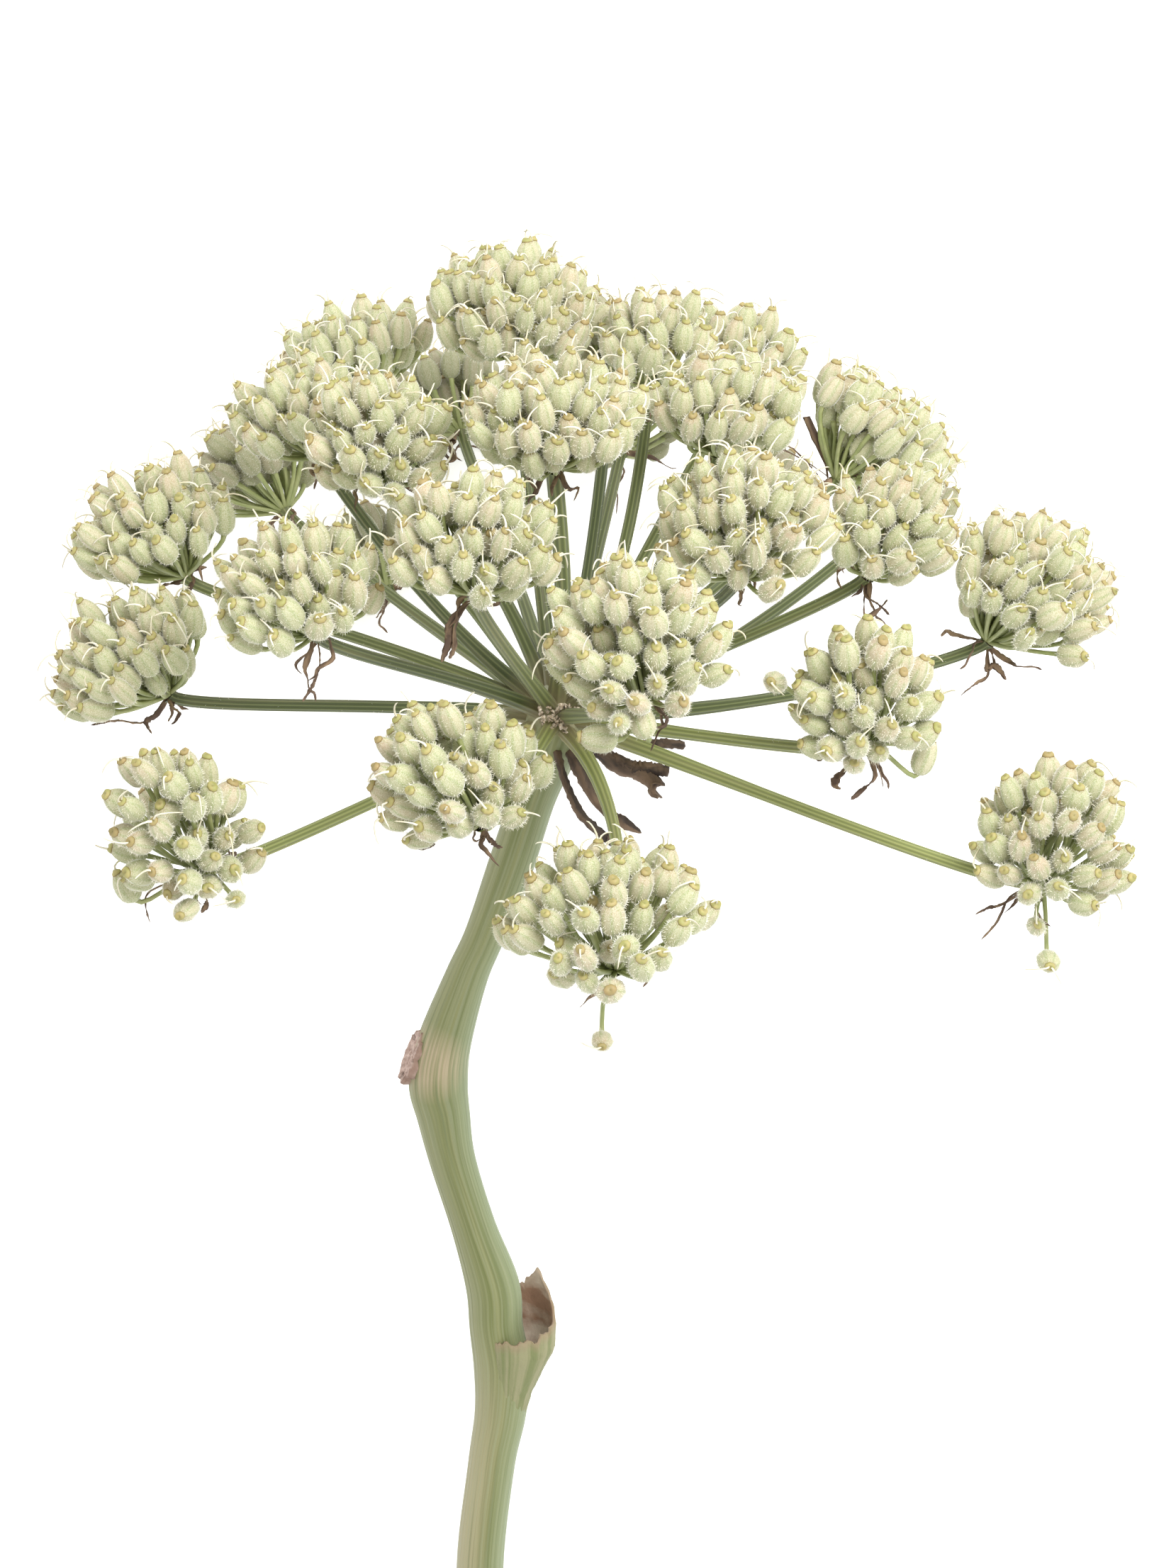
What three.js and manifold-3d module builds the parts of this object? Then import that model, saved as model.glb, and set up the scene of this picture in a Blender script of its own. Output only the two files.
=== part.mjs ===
// A cut stem of giant fennel in young fruit, lying on its back: one compound umbel on a zigzag stem.
// Millimetres. +Y runs up the plant, +X to its right, and +Z up from the surface that it lies on.
import * as THREE from "three";
import { LoftGeometry } from "three/addons/geometries/LoftGeometry.js";
import { mergeVertices } from "three/addons/utils/BufferGeometryUtils.js";
import Module from "manifold-3d";

const wasm = await Module();
wasm.setup();

// Where all rays meet. Everything else is placed from here.
const HUB = new THREE.Vector3(-4.7, 50.3, 74.7);

// Neighbouring pieces stay this far apart.
const GAP = 0.3;

// One young fruit on its pedicel.
const FRUIT_LENGTH = 6.1;
const FRUIT_WIDTH = 4.1;
const PEDICEL_WIDTH = 0.9;
const FRUITS_IN_HEAD = 14;
const FRUIT_SIDES = 3;
// Where the fruit is widest below and above its middle, as shares of its length.
const BELLY_AT = 0.3;
const SHOULDER_AT = 0.72;
// Three corners have to stand out a little for the fruit to be as thick as it should.
const FRUIT_CORNER = FRUIT_WIDTH * 0.545;
// Fruits lean out less than the dome they stand on, and the dome starts a little above the ray's tip.
const FRUIT_LEAN = 0.5;
const DOME_FOOT = 0.25;
// Pedicels on the side away from the hub are longer by this share.
const OUTER_STRETCH = 0.15;
// How unevenly the fruits are spread: in lean and turn, in radians, and in the length of their pedicels.
const LEAN_SPREAD = 0.16;
const TURN_SPREAD = 0.3;
const LENGTH_SPREAD = 0.12;
// Fruits that lean less than this, in radians, hide their pedicels.
const PEDICEL_SHOWS_FROM = 1.05;

// The bunched pedicels in the middle of an umbellet, as shares of its reach and rise.
const CORE_REACH = 0.6;
const CORE_HEIGHT = 0.85;
const CORE_WIDEST_AT = 0.4;
const CORE_SIDES = 8;
// A pedicel starts this far out from the middle of the core to its surface.
const ROOT_SHARE = 0.6;

// The rays, from hub to umbellet.
const RAY_WIDTH_AT_HUB = 2.4;
const RAY_WIDTH_AT_TIP = 2;
const RAY_SIDES = 4;
const RAY_STEPS = 4;
const HUB_RADIUS = 5.2;
// How deep a ray is sunk into the hub.
const ROOT_DEPTH = 1;
// A ray's bend, as shares of its length: where it sags most, by how much, and where it turns at its tip.
const BOW_AT = 0.4;
const BOW_DEPTH = 0.01;
const NECK_LENGTH = 0.06;
// How far a cubic curve's first control moves for the curve to move by 1, a third of the way along.
const SWING_TO_CONTROL = 9 / 4;

// The brown tuft of bracteoles between a ray's tip and its umbellet.
const TUFT_DISC_WIDTH = 3.2;
const TUFT_THICKNESS = 0.7;
const TUFT_SIDES = 5;
const BRACTEOLE_SIDES = [0, 2];
const BRACTEOLE_WIDTH = 1.2;
const BRACTEOLE_REACH = 7;
const BRACTEOLE_DROOP = 0.06;
// How unevenly they curl, in radians, and reach.
const CURL_SPREAD = 0.5;
const REACH_SPREAD = 0.5;
const CORE_FOOT = GAP + TUFT_THICKNESS + GAP;

const STEM_SIDES = 10;
const UP = new THREE.Vector3(0, 0, 1);
// A direction nearer to upright than this takes X as its reference for sideways, not Z.
const NEARLY_UPRIGHT = 0.9;
// Joins leave slivers finer than this, which are smoothed away.
const SLIVER = 0.02;
const GOLDEN_ANGLE = Math.PI * (3 - Math.sqrt(5));

// Each umbellet, from the hub: the tip of its ray, the way its head faces, how far its fruits rise and
// reach from the tip before they begin, how far the outermost of them lean, in degrees, and how far its
// ray swings aside in X and Y, a third of the way along.
const UMBELLETS = [
  { tip: [-7, 59, -5], faces: [0.06, 0.9, 0.35], rise: 8, reach: 9.6, lean: 78 },
  { tip: [-0.2, 38, 35], faces: [-0.02, 0.85, 0.5], rise: 8, reach: 11, lean: 60, swing: [1.2, 0] },
  { tip: [-38, 41.9, 5], faces: [-0.35, 0.85, 0.35], rise: 6.2, reach: 8.8, lean: 52, swing: [-1.6, -1.5] },
  { tip: [-26.7, 36, 28], faces: [-0.05, 0.75, 0.65], rise: 11.4, reach: 5, lean: 94 },
  { tip: [-31.5, 54, -25], faces: [-0.3, 0.95, 0], rise: 8.2, reach: 9.6, lean: 76, swing: [2.2, 1.3] },
  { tip: [-47, 36, -44], faces: [-0.5, 0.75, -0.2], rise: 10.7, reach: 8.9, lean: 74 },
  { tip: [15, 53.7, 0], faces: [0.12, 0.9, 0.4], rise: 6.4, reach: 4.4, lean: 70, swing: [2.9, -0.8] },
  { tip: [28, 53, -19], faces: [0.32, 0.85, 0.2], rise: 7.2, reach: 4.3, lean: 70 },
  { tip: [25.4, 41.2, 18], faces: [0.15, 0.83, 0.38], rise: 6.2, reach: 8.8, lean: 48, swing: [1, -0.6] },
  { tip: [46, 39, -13], faces: [0.64, 0.77, 0.05], rise: 9.4, reach: 14, lean: 44 },
  { tip: [28.2, 21, 42], faces: [0, 0.8, 0.6], rise: 12.3, reach: 9, lean: 87 },
  { tip: [48.8, 21.9, 22], faces: [0.36, 0.8, 0.5], rise: 11.2, reach: 4.8, lean: 86 },
  { tip: [69.8, 12.4, 0], faces: [0.5, 0.74, 0.46], rise: 15, reach: 10, lean: 78, swing: [0.4, -2.1] },
  { tip: [13.2, 1.8, 65], faces: [-0.14, 0.75, 0.62], rise: 17.4, reach: 8.2, lean: 108 },
  { tip: [47, -4.6, 45], faces: [-0.06, 0.75, 0.65], rise: 14.7, reach: 6.3, lean: 112 },
  { tip: [-11.2, -16.7, 60], faces: [-0.32, 0.8, 0.55], rise: 14.9, reach: 9.3, lean: 95 },
  { tip: [-54.4, -23.6, 35], faces: [-0.18, 0.62, 0.75], rise: 18.4, reach: 7.2, lean: 113 },
  { tip: [9, -38.4, 60], faces: [-0.17, 0.8, 0.55], rise: 14.6, reach: 12, lean: 89, swing: [4.7, 1.1] },
  { tip: [76.4, -26, 20], faces: [0.12, 0.75, 0.6], rise: 14.9, reach: 8, lean: 111 },
  { tip: [-60.6, 23, -4], faces: [-0.42, 0.85, 0.3], rise: 10.1, reach: 9.5, lean: 70, swing: [0.6, 1.5] },
  { tip: [-62.2, 3.5, 8], faces: [-0.62, 0.77, 0.38], rise: 8.8, reach: 9.6, lean: 68, swing: [0.1, 0.9] },
  { tip: [-36.3, 12, 45], faces: [-0.25, 0.8, 0.55], rise: 11.8, reach: 8.6, lean: 90, swing: [0.3, 0.9] },
  { tip: [-12.1, 18, 50], faces: [0.03, 0.85, 0.5], rise: 11.2, reach: 8, lean: 89 },
  { tip: [-30, 23, -60], faces: [-0.4, 0.6, -0.55], rise: 8.7, reach: 7.9, lean: 70 },
  { tip: [-17, 50.5, -60.3], faces: [-0.1, 0.8, -0.5], rise: 8.7, reach: 8.4, lean: 72, swing: [1, 0.4] },
  { tip: [10.5, 45.8, -42], faces: [0.1, 0.7, -0.6], rise: 8.7, reach: 7.9, lean: 66 },
  { tip: [8.4, 53.7, -20], faces: [0.05, 0.95, 0.1], rise: 8.7, reach: 7, lean: 68, swing: [1.1, -0.2] },
  { tip: [31.7, 36.2, -60], faces: [0.4, 0.6, -0.6], rise: 8.7, reach: 7.9, lean: 70 },
  { tip: [51.7, 30.4, -32], faces: [0.7, 0.65, -0.1], rise: 9.7, reach: 7.9, lean: 70, swing: [1.6, -2.7] },
];

// Single fruits that hang out of their umbellets on long pedicels: the neck, from the hub, and the axis.
const STRAYS = [
  { umbellet: 15, neck: [34.2, 4.7, 43], axis: [-0.25, 0, 0.97] },
  { umbellet: 18, neck: [7.1, -48.5, 57], axis: [0, -0.35, 0.94] },
  { umbellet: 19, neck: [77.5, -38, 20], axis: [0, -0.3, 0.95] },
];

// The stem from its cut end to the hub: where its middle runs, from the hub, and its width.
const STEM = [
  { at: [-13, -176, -71.8], width: 7.8 },
  { at: [-14, -150, -62], width: 8.2 },
  { at: [-11.9, -130, -55.5], width: 8.1 },
  { at: [-10.2, -120, -52.5], width: 8.9 },
  { at: [-9.4, -112, -50], width: 10.6 },
  { at: [-9.2, -104.5, -47.5], width: 12.4 },
  { at: [-11.4, -97, -45], width: 9.2 },
  { at: [-14.6, -86.5, -41], width: 7.6 },
  { at: [-18, -75, -37], width: 7.8 },
  { at: [-19.5, -67, -34], width: 9 },
  { at: [-20.3, -61, -31.5], width: 10 },
  { at: [-19.1, -54, -28.5], width: 9 },
  { at: [-15.3, -43, -23], width: 7.1 },
  { at: [-12.2, -36, -19.5], width: 6.7 },
  { at: [-8, -25, -14], width: 7.5 },
  { at: [-4, -13, -7.5], width: 7.4 },
  { at: [-1.5, -5.5, -3.5], width: 9.4 },
  { at: [0, 0, 0], width: 10.8 },
  { at: [0.5, 3.5, 2.5], width: 7 },
];

// The scar of a fallen leaf on the upper node, and the torn stub of a sheath on the lower one: each an
// outline across X and Y, from the hub, as thick as it says about the depth that it lies at.
const LEAF_SCAR = {
  outline: [[-19, -46.5], [-23, -49.5], [-26, -58], [-25.5, -61.5], [-20, -65]],
  depth: -29,
  thickness: 5.5,
};
const SHEATH_STUB = {
  outline: [[-11, -112], [-1.5, -106.5], [-1, -101], [-3, -93], [-7, -96]],
  depth: -46.5,
  thickness: 6,
};

// The withered bracts below the hub: where their midribs run, and the collar that their roots share.
const BRACT_WIDTH = 2.6;
const BRACT_THICKNESS = 1.1;
const BRACT_TWIST = 0.4;
const BRACT_SIDES = 4;
const BRACTS = [
  [[-0.3, -5.8, 3.2], [1, -10.5, 4.5], [3.6, -15, 5.5], [7.8, -20.4, 6.5]],
  [[1.4, -5.8, 2.6], [4.6, -10.5, 3.5], [8.6, -16, 4.5], [13.7, -19.6, 6]],
  [[4.2, -4.8, 0.2], [8.5, -6.8, -1.2], [12.4, -8.2, -2], [15.6, -11.6, -2]],
  [[5, -3.5, -1.6], [10, -4, -4], [15, -4.2, -5.5], [20, -4.8, -6]],
];
const COLLAR_WIDTH = 2.6;
const COLLAR_SIDES = 6;
const COLLAR = [[-1, -5.6, 3.6], [3.3, -5.7, 1.5], [5.1, -3.5, -1.6]];

const COLORS = {
  stem: 0xa9b391,
  umbellet: 0xc5c9a4,
  bracteoles: 0x5f4a36,
  bracts: 0x4f3c2e,
};

// A repeatable random draw from 0 to 1.
function drawFrom(seed) {
  let state = seed * 2654435761 >>> 0;
  return () => {
    state = (state + 0x6d2b79f5) >>> 0;
    let mixed = Math.imul(state ^ (state >>> 15), state | 1);
    mixed ^= mixed + Math.imul(mixed ^ (mixed >>> 7), mixed | 61);
    return ((mixed ^ (mixed >>> 14)) >>> 0) / 4294967296;
  };
}

// A draw between minus and plus half a spread.
function unevenly(draw, spread) {
  return (draw() - 0.5) * spread;
}

function fromHub(place) {
  return new THREE.Vector3(...place).add(HUB);
}

function facing(umbellet) {
  return new THREE.Vector3(...umbellet.faces).normalize();
}

// Two unit vectors square to a direction and to each other.
function across(direction) {
  const reference = UP.clone();
  if (Math.abs(direction.z) > NEARLY_UPRIGHT) {
    reference.set(1, 0, 0);
  }
  const side = new THREE.Vector3().crossVectors(reference, direction).normalize();
  const other = new THREE.Vector3().crossVectors(direction, side);
  return [side, other];
}

// A regular section round a point, square to a direction, with its first corner towards a side.
function ring(centre, direction, towards, radius, sides, turn = 0, flatness = 1) {
  const side = along(towards, direction, -towards.dot(direction)).normalize();
  const other = new THREE.Vector3().crossVectors(direction, side);
  const points = [];
  for (let i = 0; i < sides; i++) {
    const angle = turn + (i / sides) * 2 * Math.PI;
    const point = along(centre, side, radius * Math.cos(angle));
    points.push(along(point, other, radius * flatness * Math.sin(angle)));
  }
  return points;
}

function along(start, direction, distance) {
  return start.clone().addScaledVector(direction, distance);
}

// A closed geometry as a solid that can be joined and cut.
function solid(geometry) {
  const plain = new THREE.BufferGeometry();
  plain.setAttribute("position", geometry.attributes.position);
  plain.setIndex(geometry.index);
  const merged = mergeVertices(plain, 1e-5);
  const corners = merged.index.array;
  const triangles = [];
  for (let i = 0; i < corners.length; i += 3) {
    const [a, b, c] = corners.slice(i, i + 3);
    if (a !== b && b !== c && c !== a) {
      triangles.push(a, b, c);
    }
  }
  const mesh = new wasm.Mesh({
    numProp: 3,
    vertProperties: new Float32Array(merged.attributes.position.array),
    triVerts: new Uint32Array(triangles),
  });
  return new wasm.Manifold(mesh);
}

// A solid through sections. It ends in a point where the last section has no width.
function loft(sections) {
  const last = sections.at(-1);
  const capEnd = last[0].distanceTo(last[1]) > 0;
  return solid(new LoftGeometry(sections, { capStart: true, capEnd }));
}

function joined(solids) {
  return solids.reduce((whole, next) => whole.add(next)).asOriginal().simplify(SLIVER);
}

// Cuts off what would reach below the surface that the plant lies on.
function rested(body) {
  const size = 400;
  const below = new THREE.BoxGeometry(size, size, size);
  below.translate(0, 0, -size / 2);
  return body.subtract(solid(below));
}

function meshOf(body, name, color) {
  const made = body.getMesh();
  const geometry = new THREE.BufferGeometry();
  geometry.setAttribute("position", new THREE.BufferAttribute(made.vertProperties, 3));
  geometry.setIndex(new THREE.BufferAttribute(made.triVerts, 1));
  geometry.computeVertexNormals();
  const material = new THREE.MeshStandardMaterial({ color, roughness: 0.8, metalness: 0, flatShading: true });
  const mesh = new THREE.Mesh(geometry, material);
  mesh.name = name;
  return mesh;
}

// The least distance between two line segments.
function segmentDistance(first, second) {
  const u = first.to.clone().sub(first.from);
  const v = second.to.clone().sub(second.from);
  const w = first.from.clone().sub(second.from);
  const uu = u.dot(u);
  const uv = u.dot(v);
  const vv = v.dot(v);
  const spread = uu * vv - uv * uv;
  let s = spread > 1e-9 ? THREE.MathUtils.clamp((uv * v.dot(w) - vv * u.dot(w)) / spread, 0, 1) : 0;
  const t = THREE.MathUtils.clamp((uv * s + v.dot(w)) / vv, 0, 1);
  s = THREE.MathUtils.clamp((uv * t - u.dot(w)) / uu, 0, 1);
  return along(first.from, u, s).distanceTo(along(second.from, v, t));
}

// Rods that stand for what has been placed, so that what comes later keeps clear of it.
const placed = [];

function isClear(rods, owner) {
  return rods.every((rod) =>
    placed.every(
      (other) => other.owner === owner || segmentDistance(rod, other) > rod.radius + other.radius + GAP,
    ),
  );
}

function place(rods, owner) {
  for (const rod of rods) {
    placed.push({ ...rod, owner });
  }
}

function rodsAlong(points, radius) {
  return points.slice(1).map((to, i) => ({ from: points[i], to, radius }));
}

// A ray bows out from the hub, swings aside and turns into the way that its umbellet faces.
function rayCurve(umbellet) {
  const tip = fromHub(umbellet.tip);
  const faces = facing(umbellet);
  const length = tip.distanceTo(HUB);
  const straight = tip.clone().sub(HUB).normalize();
  const start = along(HUB, straight, HUB_RADIUS - ROOT_DEPTH);
  const [swingX, swingY] = umbellet.swing ?? [0, 0];
  const swing = new THREE.Vector3(swingX, swingY, 0).multiplyScalar(SWING_TO_CONTROL);
  const bow = along(along(HUB, straight, length * BOW_AT), faces, -length * BOW_DEPTH).add(swing);
  const neck = along(tip, faces, -length * NECK_LENGTH);
  return new THREE.CubicBezierCurve3(start, bow, neck, tip);
}

function makeRay(umbellet, extra) {
  const curve = rayCurve(umbellet);
  const [side] = across(new THREE.Vector3(...umbellet.tip).normalize());
  const sections = [];
  for (let i = 0; i <= RAY_STEPS; i++) {
    const share = i / RAY_STEPS;
    const width = THREE.MathUtils.lerp(RAY_WIDTH_AT_HUB, RAY_WIDTH_AT_TIP, share);
    const [centre, tangent] = [curve.getPoint(share), curve.getTangent(share)];
    sections.push(ring(centre, tangent, side, width / 2 + extra, RAY_SIDES));
  }
  return loft(sections);
}

// The outline of a scar or stub as a flat block.
function makeBlock({ outline, depth, thickness }) {
  const shape = new THREE.Shape(outline.map(([x, y]) => new THREE.Vector2(x, y)));
  const geometry = new THREE.ExtrudeGeometry(shape, { depth: thickness, bevelEnabled: false });
  geometry.translate(HUB.x, HUB.y, HUB.z + depth - thickness / 2);
  return solid(geometry);
}

// The stem with its hub and rays, thicker by an extra all round where something has to keep clear of it.
function grownStem(extra) {
  const middles = STEM.map((station) => fromHub(station.at));
  const sections = STEM.map((station, i) => {
    const before = middles[Math.max(i - 1, 0)];
    const after = middles[Math.min(i + 1, STEM.length - 1)];
    const direction = after.clone().sub(before).normalize();
    return ring(middles[i], direction, UP, station.width / 2 + extra, STEM_SIDES);
  });
  const rays = UMBELLETS.map((umbellet) => makeRay(umbellet, extra));
  return joined([loft(sections), ...rays]);
}

function makeStem() {
  const blocks = [LEAF_SCAR, SHEATH_STUB].map(makeBlock);
  return rested(joined([grownStem(0), ...blocks]));
}

function outerStretch(umbellet, faces, out) {
  const away = new THREE.Vector3(...umbellet.tip);
  away.addScaledVector(faces, -away.dot(faces)).normalize();
  return 1 + OUTER_STRETCH * out.dot(away);
}

// One fruit of a head with its pedicel: its root in the core, its neck, and the axis that it points along.
// The fruits are spread evenly over a dome, a little unevenly drawn.
function fruitPlace(umbellet, i, draw) {
  const faces = facing(umbellet);
  const [side, other] = across(faces);
  const widest = Math.cos(THREE.MathUtils.degToRad(umbellet.lean));
  const share = (i + 0.5) / FRUITS_IN_HEAD;
  const lean = Math.acos(1 - share * (1 - widest)) + unevenly(draw, LEAN_SPREAD);
  const turn = i * GOLDEN_ANGLE + unevenly(draw, TURN_SPREAD);
  const out = side.clone().multiplyScalar(Math.cos(turn)).addScaledVector(other, Math.sin(turn));
  const tip = fromHub(umbellet.tip);
  const stretch = outerStretch(umbellet, faces, out) * (1 + unevenly(draw, LENGTH_SPREAD));
  const domeFoot = umbellet.rise * DOME_FOOT;
  const height = domeFoot + (umbellet.rise - domeFoot) * Math.cos(lean) * stretch;
  const neck = along(along(tip, faces, CORE_FOOT + height), out, umbellet.reach * Math.sin(lean) * stretch);
  const middle = along(tip, faces, CORE_FOOT + (umbellet.rise * CORE_HEIGHT) / 2);
  const spoke = neck.clone().sub(middle).normalize();
  const root = along(middle, spoke, coreRadius(umbellet, spoke, faces) * ROOT_SHARE);
  const fruitLean = lean * FRUIT_LEAN;
  const axis = faces.clone().multiplyScalar(Math.cos(fruitLean)).addScaledVector(out, Math.sin(fruitLean));
  const level = new THREE.Vector3().crossVectors(faces, out);
  return { root, neck, spoke, axis, level, lean };
}

// A stray's pedicel leaves the widest part of the core sideways, clear of the tuft below it.
function strayPlace(umbellet, stray) {
  const faces = facing(umbellet);
  const tip = fromHub(umbellet.tip);
  const neck = fromHub(stray.neck);
  const axis = new THREE.Vector3(...stray.axis).normalize();
  const out = neck.clone().sub(tip);
  out.addScaledVector(faces, -out.dot(faces)).normalize();
  const widest = along(tip, faces, CORE_FOOT + umbellet.rise * CORE_HEIGHT * CORE_WIDEST_AT);
  const root = along(widest, out, umbellet.reach * CORE_REACH * ROOT_SHARE);
  const spoke = neck.clone().sub(root).normalize();
  const level = new THREE.Vector3().crossVectors(faces, out);
  return { root, neck, spoke, axis, level, lean: Math.PI };
}

// How far the core reaches from its middle, along a spoke.
function coreRadius(umbellet, spoke, faces) {
  const upright = spoke.dot(faces);
  const sideways = Math.sqrt(Math.max(1 - upright * upright, 0));
  const half = (umbellet.rise * CORE_HEIGHT) / 2;
  return 1 / Math.hypot(upright / half, sideways / (umbellet.reach * CORE_REACH));
}

function fruitRods({ root, neck, axis }) {
  const inset = FRUIT_CORNER;
  const body = { from: along(neck, axis, inset), to: along(neck, axis, FRUIT_LENGTH - inset) };
  return [
    { ...body, radius: FRUIT_CORNER },
    { from: root, to: neck, radius: PEDICEL_WIDTH / 2 },
  ];
}

// The shoulder is turned by half a side from the belly, which rounds the fruit with few faces.
function makeFruit({ root, neck, spoke, axis, level, lean }) {
  const half = Math.PI / FRUIT_SIDES;
  const belly = along(neck, axis, FRUIT_LENGTH * BELLY_AT);
  const shoulder = along(neck, axis, FRUIT_LENGTH * SHOULDER_AT);
  const sections = [
    ring(root, spoke, level, PEDICEL_WIDTH / 2, FRUIT_SIDES),
    ring(neck, spoke, level, PEDICEL_WIDTH / 2, FRUIT_SIDES),
    ring(belly, axis, level, FRUIT_CORNER, FRUIT_SIDES),
    ring(shoulder, axis, level, FRUIT_CORNER, FRUIT_SIDES, half),
    ring(along(neck, axis, FRUIT_LENGTH), axis, level, 0, FRUIT_SIDES, half),
  ];
  if (lean < PEDICEL_SHOWS_FROM) {
    sections.splice(1, 1);
  }
  return loft(sections);
}

// The core opens like a cup from the ray's tip and closes in a low point between the fruits.
function makeCore(umbellet) {
  const faces = facing(umbellet);
  const [side] = across(faces);
  const foot = along(fromHub(umbellet.tip), faces, CORE_FOOT);
  const height = umbellet.rise * CORE_HEIGHT;
  const reach = umbellet.reach * CORE_REACH;
  return loft([
    ring(foot, faces, side, TUFT_DISC_WIDTH / 2, CORE_SIDES),
    ring(along(foot, faces, height * CORE_WIDEST_AT), faces, side, reach, CORE_SIDES),
    ring(along(foot, faces, height * 0.75), faces, side, reach * 0.85, CORE_SIDES),
    ring(along(foot, faces, height), faces, side, 0, CORE_SIDES),
  ]);
}

function makeUmbellet(umbellet, number) {
  const draw = drawFrom(number);
  const owner = `umbellet ${number}`;
  const strays = STRAYS.filter((stray) => stray.umbellet === number);
  const places = strays.map((stray) => strayPlace(umbellet, stray));
  for (let i = 0; i < FRUITS_IN_HEAD; i++) {
    places.push(fruitPlace(umbellet, i, draw));
  }
  const fruits = [];
  for (const fruit of places) {
    if (isClear(fruitRods(fruit), owner)) {
      place(fruitRods(fruit), owner);
      fruits.push(makeFruit(fruit));
    }
  }
  return rested(joined([makeCore(umbellet), ...fruits]));
}

// A tuft's bracteoles as seen along the ray: the side of the disc that each grows from, its way and reach.
function tuftArms(draw) {
  const start = draw() * 2 * Math.PI;
  return BRACTEOLE_SIDES.map((side) => {
    const turn = start + ((side + 0.5) / TUFT_SIDES) * 2 * Math.PI;
    const curl = unevenly(draw, CURL_SPREAD);
    return { start, side, turn, curl, reach: BRACTEOLE_REACH * (1 + unevenly(draw, REACH_SPREAD)) };
  });
}

// A point of the tuft at a radius and turn. The further out it is, the more it droops.
function tuftPoint(radius, turn) {
  const outside = Math.max(radius - TUFT_DISC_WIDTH / 2, 0);
  return new THREE.Vector3(radius * Math.cos(turn), radius * Math.sin(turn), -BRACTEOLE_DROOP * outside ** 2);
}

// The outline of the disc with the bracteoles that it keeps.
function tuftOutline(arms, kept) {
  const edge = TUFT_DISC_WIDTH / 2;
  const points = [];
  for (let side = 0; side < TUFT_SIDES; side++) {
    points.push(tuftPoint(edge, arms[0].start + (side / TUFT_SIDES) * 2 * Math.PI));
    const arm = kept.find((one) => one.side === side);
    if (arm) {
      const middle = (edge + arm.reach) / 2;
      const half = BRACTEOLE_WIDTH / 2 / middle;
      points.push(tuftPoint(middle, arm.turn + arm.curl / 2 - half));
      points.push(tuftPoint(arm.reach, arm.turn + arm.curl));
      points.push(tuftPoint(middle, arm.turn + arm.curl / 2 + half));
    }
  }
  return points;
}

// A bent plate from its underside's outline, which is star-shaped round the origin.
function plate(outline, thickness) {
  const count = outline.length;
  const under = [new THREE.Vector3(), ...outline];
  const corners = [...under, ...under.map((point) => along(point, UP, thickness))];
  const index = [];
  for (let i = 0; i < count; i++) {
    const [here, next] = [1 + i, 1 + (i + 1) % count];
    const [top, topHere, topNext] = [count + 1, count + 1 + here, count + 1 + next];
    index.push(0, next, here);
    index.push(top, topHere, topNext);
    index.push(here, next, topNext);
    index.push(here, topNext, topHere);
  }
  const geometry = new THREE.BufferGeometry().setFromPoints(corners);
  geometry.setIndex(index);
  return geometry;
}

function tuftRods(umbellet, arms) {
  const toPlace = tuftMatrix(umbellet);
  return arms.map(({ turn, curl, reach }) => ({
    from: tuftPoint(TUFT_DISC_WIDTH / 2 + BRACTEOLE_WIDTH, turn).applyMatrix4(toPlace),
    to: tuftPoint(reach, turn + curl).applyMatrix4(toPlace),
    radius: BRACTEOLE_WIDTH / 2,
  }));
}

function tuftMatrix(umbellet) {
  const faces = facing(umbellet);
  const [side, other] = across(faces);
  const foot = along(fromHub(umbellet.tip), faces, GAP);
  return new THREE.Matrix4().makeBasis(side, other, faces).setPosition(foot);
}

function makeTuft(umbellet, number) {
  const owner = `tuft ${number}`;
  const arms = tuftArms(drawFrom(100 + number));
  const rods = tuftRods(umbellet, arms);
  const kept = arms.filter((_, i) => isClear([rods[i]], owner));
  place(rods.filter((rod) => isClear([rod], owner)), owner);
  const geometry = plate(tuftOutline(arms, kept), TUFT_THICKNESS);
  return solid(geometry.applyMatrix4(tuftMatrix(umbellet)));
}

// A loft along hand-set points, with its widths evenly spaced along it.
function makeBlade(points, widths, flatness, sides) {
  const curve = new THREE.CatmullRomCurve3(points.map(fromHub));
  const last = widths.length - 1;
  const [side] = across(curve.getPoint(1).sub(curve.getPoint(0)).normalize());
  return loft(widths.map((width, i) => {
    const [centre, tangent] = [curve.getPoint(i / last), curve.getTangent(i / last)];
    return ring(centre, tangent, side, width / 2, sides, BRACT_TWIST * i, flatness);
  }));
}

function makeBract(points) {
  const widths = [BRACT_WIDTH * 0.7, BRACT_WIDTH, BRACT_WIDTH * 0.8, 0];
  return makeBlade(points, widths, BRACT_THICKNESS / BRACT_WIDTH, BRACT_SIDES);
}

function makeCollar() {
  return makeBlade(COLLAR, [COLLAR_WIDTH, COLLAR_WIDTH, COLLAR_WIDTH], 1, COLLAR_SIDES);
}

// The bracts hug the hub, so what the hub and the rays need is cut out of them.
function makeBracts() {
  return joined([makeCollar(), ...BRACTS.map(makeBract)]).subtract(grownStem(GAP));
}

const plant = new THREE.Group();
const names = UMBELLETS.map((_, i) => String(i + 1).padStart(2, "0"));

UMBELLETS.forEach((umbellet, i) => {
  const points = rayCurve(umbellet).getPoints(RAY_STEPS * 2).slice(0, -1);
  place(rodsAlong(points, RAY_WIDTH_AT_HUB / 2), `ray ${i}`);
});

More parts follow.
